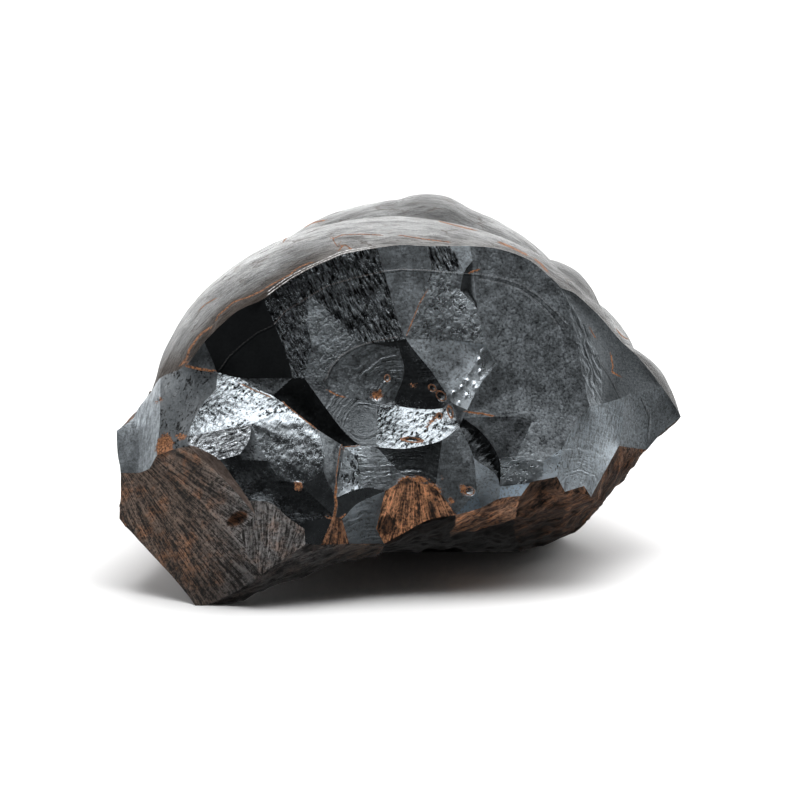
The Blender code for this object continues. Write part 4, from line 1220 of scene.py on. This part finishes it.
def break_rings(nodes, mottle):
    """Uneven rings about the centre of a facet's pattern, which fade towards it and far from it."""
    radius = nodes.add("SeparateXYZ", {0: nodes.pattern}, "Z")
    inputs = {"W": mottle * 2.2 + radius, "Scale": 1.4, "Detail": 3.0}
    ring = nodes.add("TexNoise", inputs, noise_dimensions="1D")
    fade = nodes.ramp(radius, 0.5, 2.5) * nodes.ramp(radius, 4.0, 11.0, 1.0, 0.35)
    return (ring - 0.5) * (fade * nodes.ramp(nodes.noise("ring gaps"), 0.35, 0.6, 0.2, 1.0)) + 0.5


def break_material():
    """Freshly broken hematite: each facet's tone and gloss, under its own grain."""
    nodes = Nodes(bpy.data.materials.new("hematite"))
    mottle = nodes.noise("mottle")
    grain = {"speckle": nodes.noise("speckle"), "rings": break_rings(nodes, mottle)}
    grain["streaks"] = nodes.noise("break streaks")
    speckle, tone = grain["speckle"], nodes.number("tone")
    cell = nodes.cell_edges(nodes.place, "crack bends", amount=0.9, scale=(0.75, 0.75, 0.75))
    crack = nodes.fall(cell, 0.0, 0.13) * nodes.ramp(speckle, 0.35, 0.6, 1.0, 0.3)
    crack *= nodes.number("cracks")
    # Pits: small hollows in the bump, darkened in colour by painted shade.
    spots = nodes.wave("pit fields") * 0.5 + nodes.noise("pits")
    pit = nodes.fall(spots, 0.39, 0.46) * nodes.number("pits")
    halo = nodes.between(nodes.number("growth"), 0.2, 0.3, 0.4, 0.6)

    light = (mottle - 0.5) * 0.5 + 1.0
    for name, (strength, middle) in BREAK_SWINGS.items():
        light *= (grain[name] - middle) * (nodes.number(name) * strength) + 1.0
    for name, mark in (("cracks", crack), ("pits", pit), ("halo", halo)):
        light *= 1.0 - mark * DIMMING[name]
    light = (light * tone).at_least(DARKEST).at_most(LIGHTEST)
    steel, brown = (nodes.scaled(COLOURS[name], light) for name in ("steel", "brown steel"))
    colour = nodes.mix(nodes.number("brown"), steel, brown)

    growth = nodes.ramp(speckle * 0.25 + abs(nodes.number("growth")), 0.13, 0.25, 0.5, 0.0)
    growth *= nodes.ramp(tone, 0.1, 0.35, 0.4, 1.0)
    along = nodes.ramp(nodes.axis("X"), 2.0, 14.0)
    colour = nodes.mix(growth, colour, nodes.mix(along, COLOURS["left growth"], COLOURS["right growth"]))
    stain = nodes.fall(nodes.wave("stain edges") * 2.6 + nodes.number("stain"), -0.06, 0.1)
    rusty = rust_marks(nodes, raggedness=0.45).at_least(stain)
    colour = nodes.mix(rusty, colour, rust_colour(nodes))
    dull = rusty.at_least(growth)

    uneven = nodes.number("speckle") * (speckle + mottle - 1.0)
    gloss = uneven * 0.5 + nodes.number("gloss") + crack * 0.03
    gloss = gloss.at_least(0.06) + dull * 0.4
    height = speckle * nodes.number("sparkle") - pit * 0.8
    for name in ("streaks", "rings"):
        height += grain[name] * nodes.number(name)
    return nodes.finish(colour, 1.0 - dull, gloss, height, depth=0.2, ior=1.5)


def fibrous_material():
    """Rough broken faces, brown and fibrous, with a grey stretch at the left and painted shade darker
    towards the bottom.
    """
    nodes = Nodes(bpy.data.materials.new("fibrous hematite"))
    grit, line, band = (nodes.noise(name) for name in ("grit", "fibres", "fibre bands"))
    fibre = (grit - 0.5) * 0.9 + line
    shade = nodes.ramp((band - 0.5) * 0.7 + fibre, 0.38, 0.66)
    cool = nodes.between(nodes.axis("X"), -44.0, -30.0, -14.0, -8.0)
    light = nodes.mix(cool, COLOURS["fibre"], COLOURS["grey fibre"])
    dark = nodes.mix(shade, COLOURS["between fibres"], light)
    warm = nodes.mix(shade, COLOURS["between warm fibres"], COLOURS["warm fibre"])
    warmth = nodes.ramp(nodes.noise("blotches"), 0.46, 0.66, 0.1, 0.8) * (1.0 - cool * 0.6)
    colour = nodes.mix((warmth + nodes.number("brown")).at_most(1.0), dark, warm)
    rusty = nodes.fall(grit * 0.8 + nodes.number("stain"), 0.2, 0.8)
    colour = nodes.mix(rusty, colour, nodes.scaled(warm, 0.3))
    bright = nodes.ramp(nodes.noise("broad bands"), 0.36, 0.64, 0.6, 1.35) * nodes.number("tone")
    # Painted shade: darker towards the bottom, down to half near the table.
    colour = nodes.scaled(colour, bright * nodes.ramp(nodes.axis("Z"), 1.0, 14.0, 0.5, 1.0))
    return nodes.finish(colour, 0.0, 0.72 - line * 0.4, fibre + band * 0.6, depth=0.45, ior=1.45)


def skin_light(nodes, streak, wisp, fine):
    """How much light the skin gives back: its streaks, and painted shade in the crease behind the main
    lobe, near the rim at both ends and on the front slope.
    """
    light = (streak - 0.5) * 1.9 + (wisp - 0.5) * 1.2 + (fine - 0.5) * 1.2 + 1.0
    light = light.at_least(0.15) * nodes.ramp(nodes.noise("clouds"), 0.3, 0.7, 0.8, 1.2)
    light *= nodes.ramp(streak, 0.34, 0.45, 0.6, 1.0)
    # Painted shade on the rear lobes, in the crease just behind the main lobe's crest.
    light *= 1.0 - nodes.between(nodes.number("crease"), -6.0, -0.4, 0.0, 0.3) * DIMMING["crease"]
    side = nodes.axis("X")
    # Painted shade: the skin grows darker towards the rim at the left and right ends.
    ends = 1.0 - nodes.between(side, -22.0, -4.0, 12.0, 24.0)
    light *= nodes.ramp(nodes.number("rim"), 1.0, 15.0, 1.0 - ends * DIMMING["rim"], 1.0, "LINEAR")
    # Painted shade on the skin's front slope, to the right of the middle.
    slope_shade = nodes.between(side, 2.0, 12.0, 26.0, 36.0) * nodes.fall(nodes.axis("Y"), 2.0, 14.0)
    return light * (1.0 - slope_shade * DIMMING["slope_shade"])


def skin_chips(nodes, fine):
    """White chips and a painted highlight, in two thin lines along the rim's chipped edge."""
    side = nodes.axis("X")
    edge = (fine - 0.5) * 0.7 + nodes.number("rim")
    chip = nodes.fall(abs(abs(edge - 0.65) - 0.33), 0.05, 0.12)
    chip *= nodes.ramp(nodes.noise("chip gaps"), 0.42, 0.5, 0.25, 1.0)
    return chip * nodes.between(side, -27.5, -27.0, -8.0, -3.0)


def skin_material():
    """Grown skin: a satin sheen, streaked along the lobes, with rust in its cracks, painted shade on parts
    of the lobes and white chips with a painted highlight along the rim.
    """
    nodes = Nodes(bpy.data.materials.new("hematite skin"))
    streak, wisp, fine = (nodes.noise(name) for name in ("skin streaks", "wisps", "speckle"))
    light = skin_light(nodes, streak, wisp, fine)
    film = nodes.fall((wisp - 0.5) * 5.0 + nodes.number("rim"), 0.5, 6.5)
    film *= nodes.ramp(nodes.axis("X"), -24.0, -6.0, 1.0, 0.2)
    film = film.at_least(nodes.ramp(nodes.noise("film patches"), 0.55, 0.72, 0.0, 0.5))
    bare, filmed = (nodes.scaled(COLOURS[name], light) for name in ("skin", "film"))
    colour = nodes.mix(film, bare, filmed)
    cell = nodes.cell_edges(nodes.pattern, "skin crack bends", amount=1.6, scale=(0.42, 0.12, 0))
    crack = nodes.fall(cell, 0.01, 0.05) * nodes.ramp(nodes.noise("crack patches"), 0.45, 0.6)
    colour = nodes.mix(crack * 0.75, colour, COLOURS["skin crack"])
    rusty = rust_marks(nodes, raggedness=0.25)
    colour = nodes.mix(rusty, colour, rust_colour(nodes))
    chip = skin_chips(nodes, fine)
    # White chips along the rim, partly a painted highlight on the chipped edge.
    colour = nodes.mix(chip, colour, COLOURS["chip"])
    dull = rusty.at_least(chip)
    rough = 0.33 - (wisp - 0.5) * 0.4 + film * 0.12 + dull * 0.25
    height = fine * 0.4 + streak - crack * 0.35
    return nodes.finish(colour, 1.0 - dull.at_least(crack), rough, height, depth=0.45, ior=1.5)


def add_floor(scene):
    """A white table, which the stone's mirrors don't show."""
    nodes = Nodes(bpy.data.materials.new("white table"))
    shader = nodes.tree.nodes["Principled BSDF"]
    nodes.put(shader.inputs["Base Color"], COLOURS["table"])
    nodes.put(shader.inputs["Roughness"], TABLE_ROUGHNESS)
    side = FLOOR_SIDE / 2
    mesh = bpy.data.meshes.new("floor")
    corners = [(-side, -side, 0), (side, -side, 0), (side, side, 0), (-side, side, 0)]
    mesh.from_pydata(corners, [], [range(4)])
    mesh.materials.append(nodes.owner)
    floor = bpy.data.objects.new("floor", mesh)
    scene.collection.objects.link(floor)
    floor.visible_glossy = False


def add_room(scene):
    """A white room that is dark on the camera's side, above and below."""
    scene.world = bpy.data.worlds.new("room")
    nodes = Nodes(scene.world)
    way = nodes.add("TexCoord", output="Generated")
    toward = nodes.add("VectorMath", {0: way, 1: BRIGHT_SIDE}, "Value", operation="DOT_PRODUCT")
    up = nodes.add("SeparateXYZ", {0: way}, "Z")
    background = nodes.tree.nodes["Background"]
    nodes.put(background.inputs["Color"], (1, 1, 1))
    strength = nodes.ramp(toward, *ROOM_GROWTH) * nodes.ramp(up, *ROOM_FALL) * nodes.ramp(up, *ROOM_END)
    nodes.put(background.inputs["Strength"], strength)


def add_lights(scene):
    """Soft lights that look at the stone."""
    for name, place, size, power, mirrored in LIGHTS:
        light = bpy.data.lights.new(name, "AREA")
        light.shape = "RECTANGLE"
        light.size, light.size_y = size
        light.energy = power
        lamp = bpy.data.objects.new(name, light)
        lamp.location = place
        lamp.visible_glossy = mirrored
        lamp.rotation_euler = (-Vector(place)).to_track_quat("-Z", "Y").to_euler()
        scene.collection.objects.link(lamp)


def add_camera(scene):
    """The photograph's view: from the front, a little from above."""
    ahead = Vector((0, math.cos(EYE_ELEVATION), -math.sin(EYE_ELEVATION)))
    above = Vector((0, math.sin(EYE_ELEVATION), math.cos(EYE_ELEVATION)))
    eye = Vector(TARGET) - ahead * EYE_DISTANCE * MILLIMETRE
    camera = bpy.data.objects.new("camera", bpy.data.cameras.new("camera"))
    camera.matrix_world = Matrix(((1, 0, 0), above, -ahead)).transposed().to_4x4()
    camera.location = eye
    camera.data.lens = camera.data.sensor_width * EYE_DISTANCE / (PICTURE_SIDE * STEP)
    scene.collection.objects.link(camera)
    scene.camera = camera


def main():
    mesh = build_stone()
    for material in (break_material(), fibrous_material(), skin_material()):
        mesh.materials.append(material)
    piece = bpy.data.objects.new("hematite_stone", mesh)
    scene = bpy.context.scene
    scene.collection.objects.link(piece)
    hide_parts("hematite")
    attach(piece, "root")
    add_floor(scene)
    add_room(scene)
    add_lights(scene)
    add_camera(scene)
    scene.view_settings.view_transform = "Standard"


main()
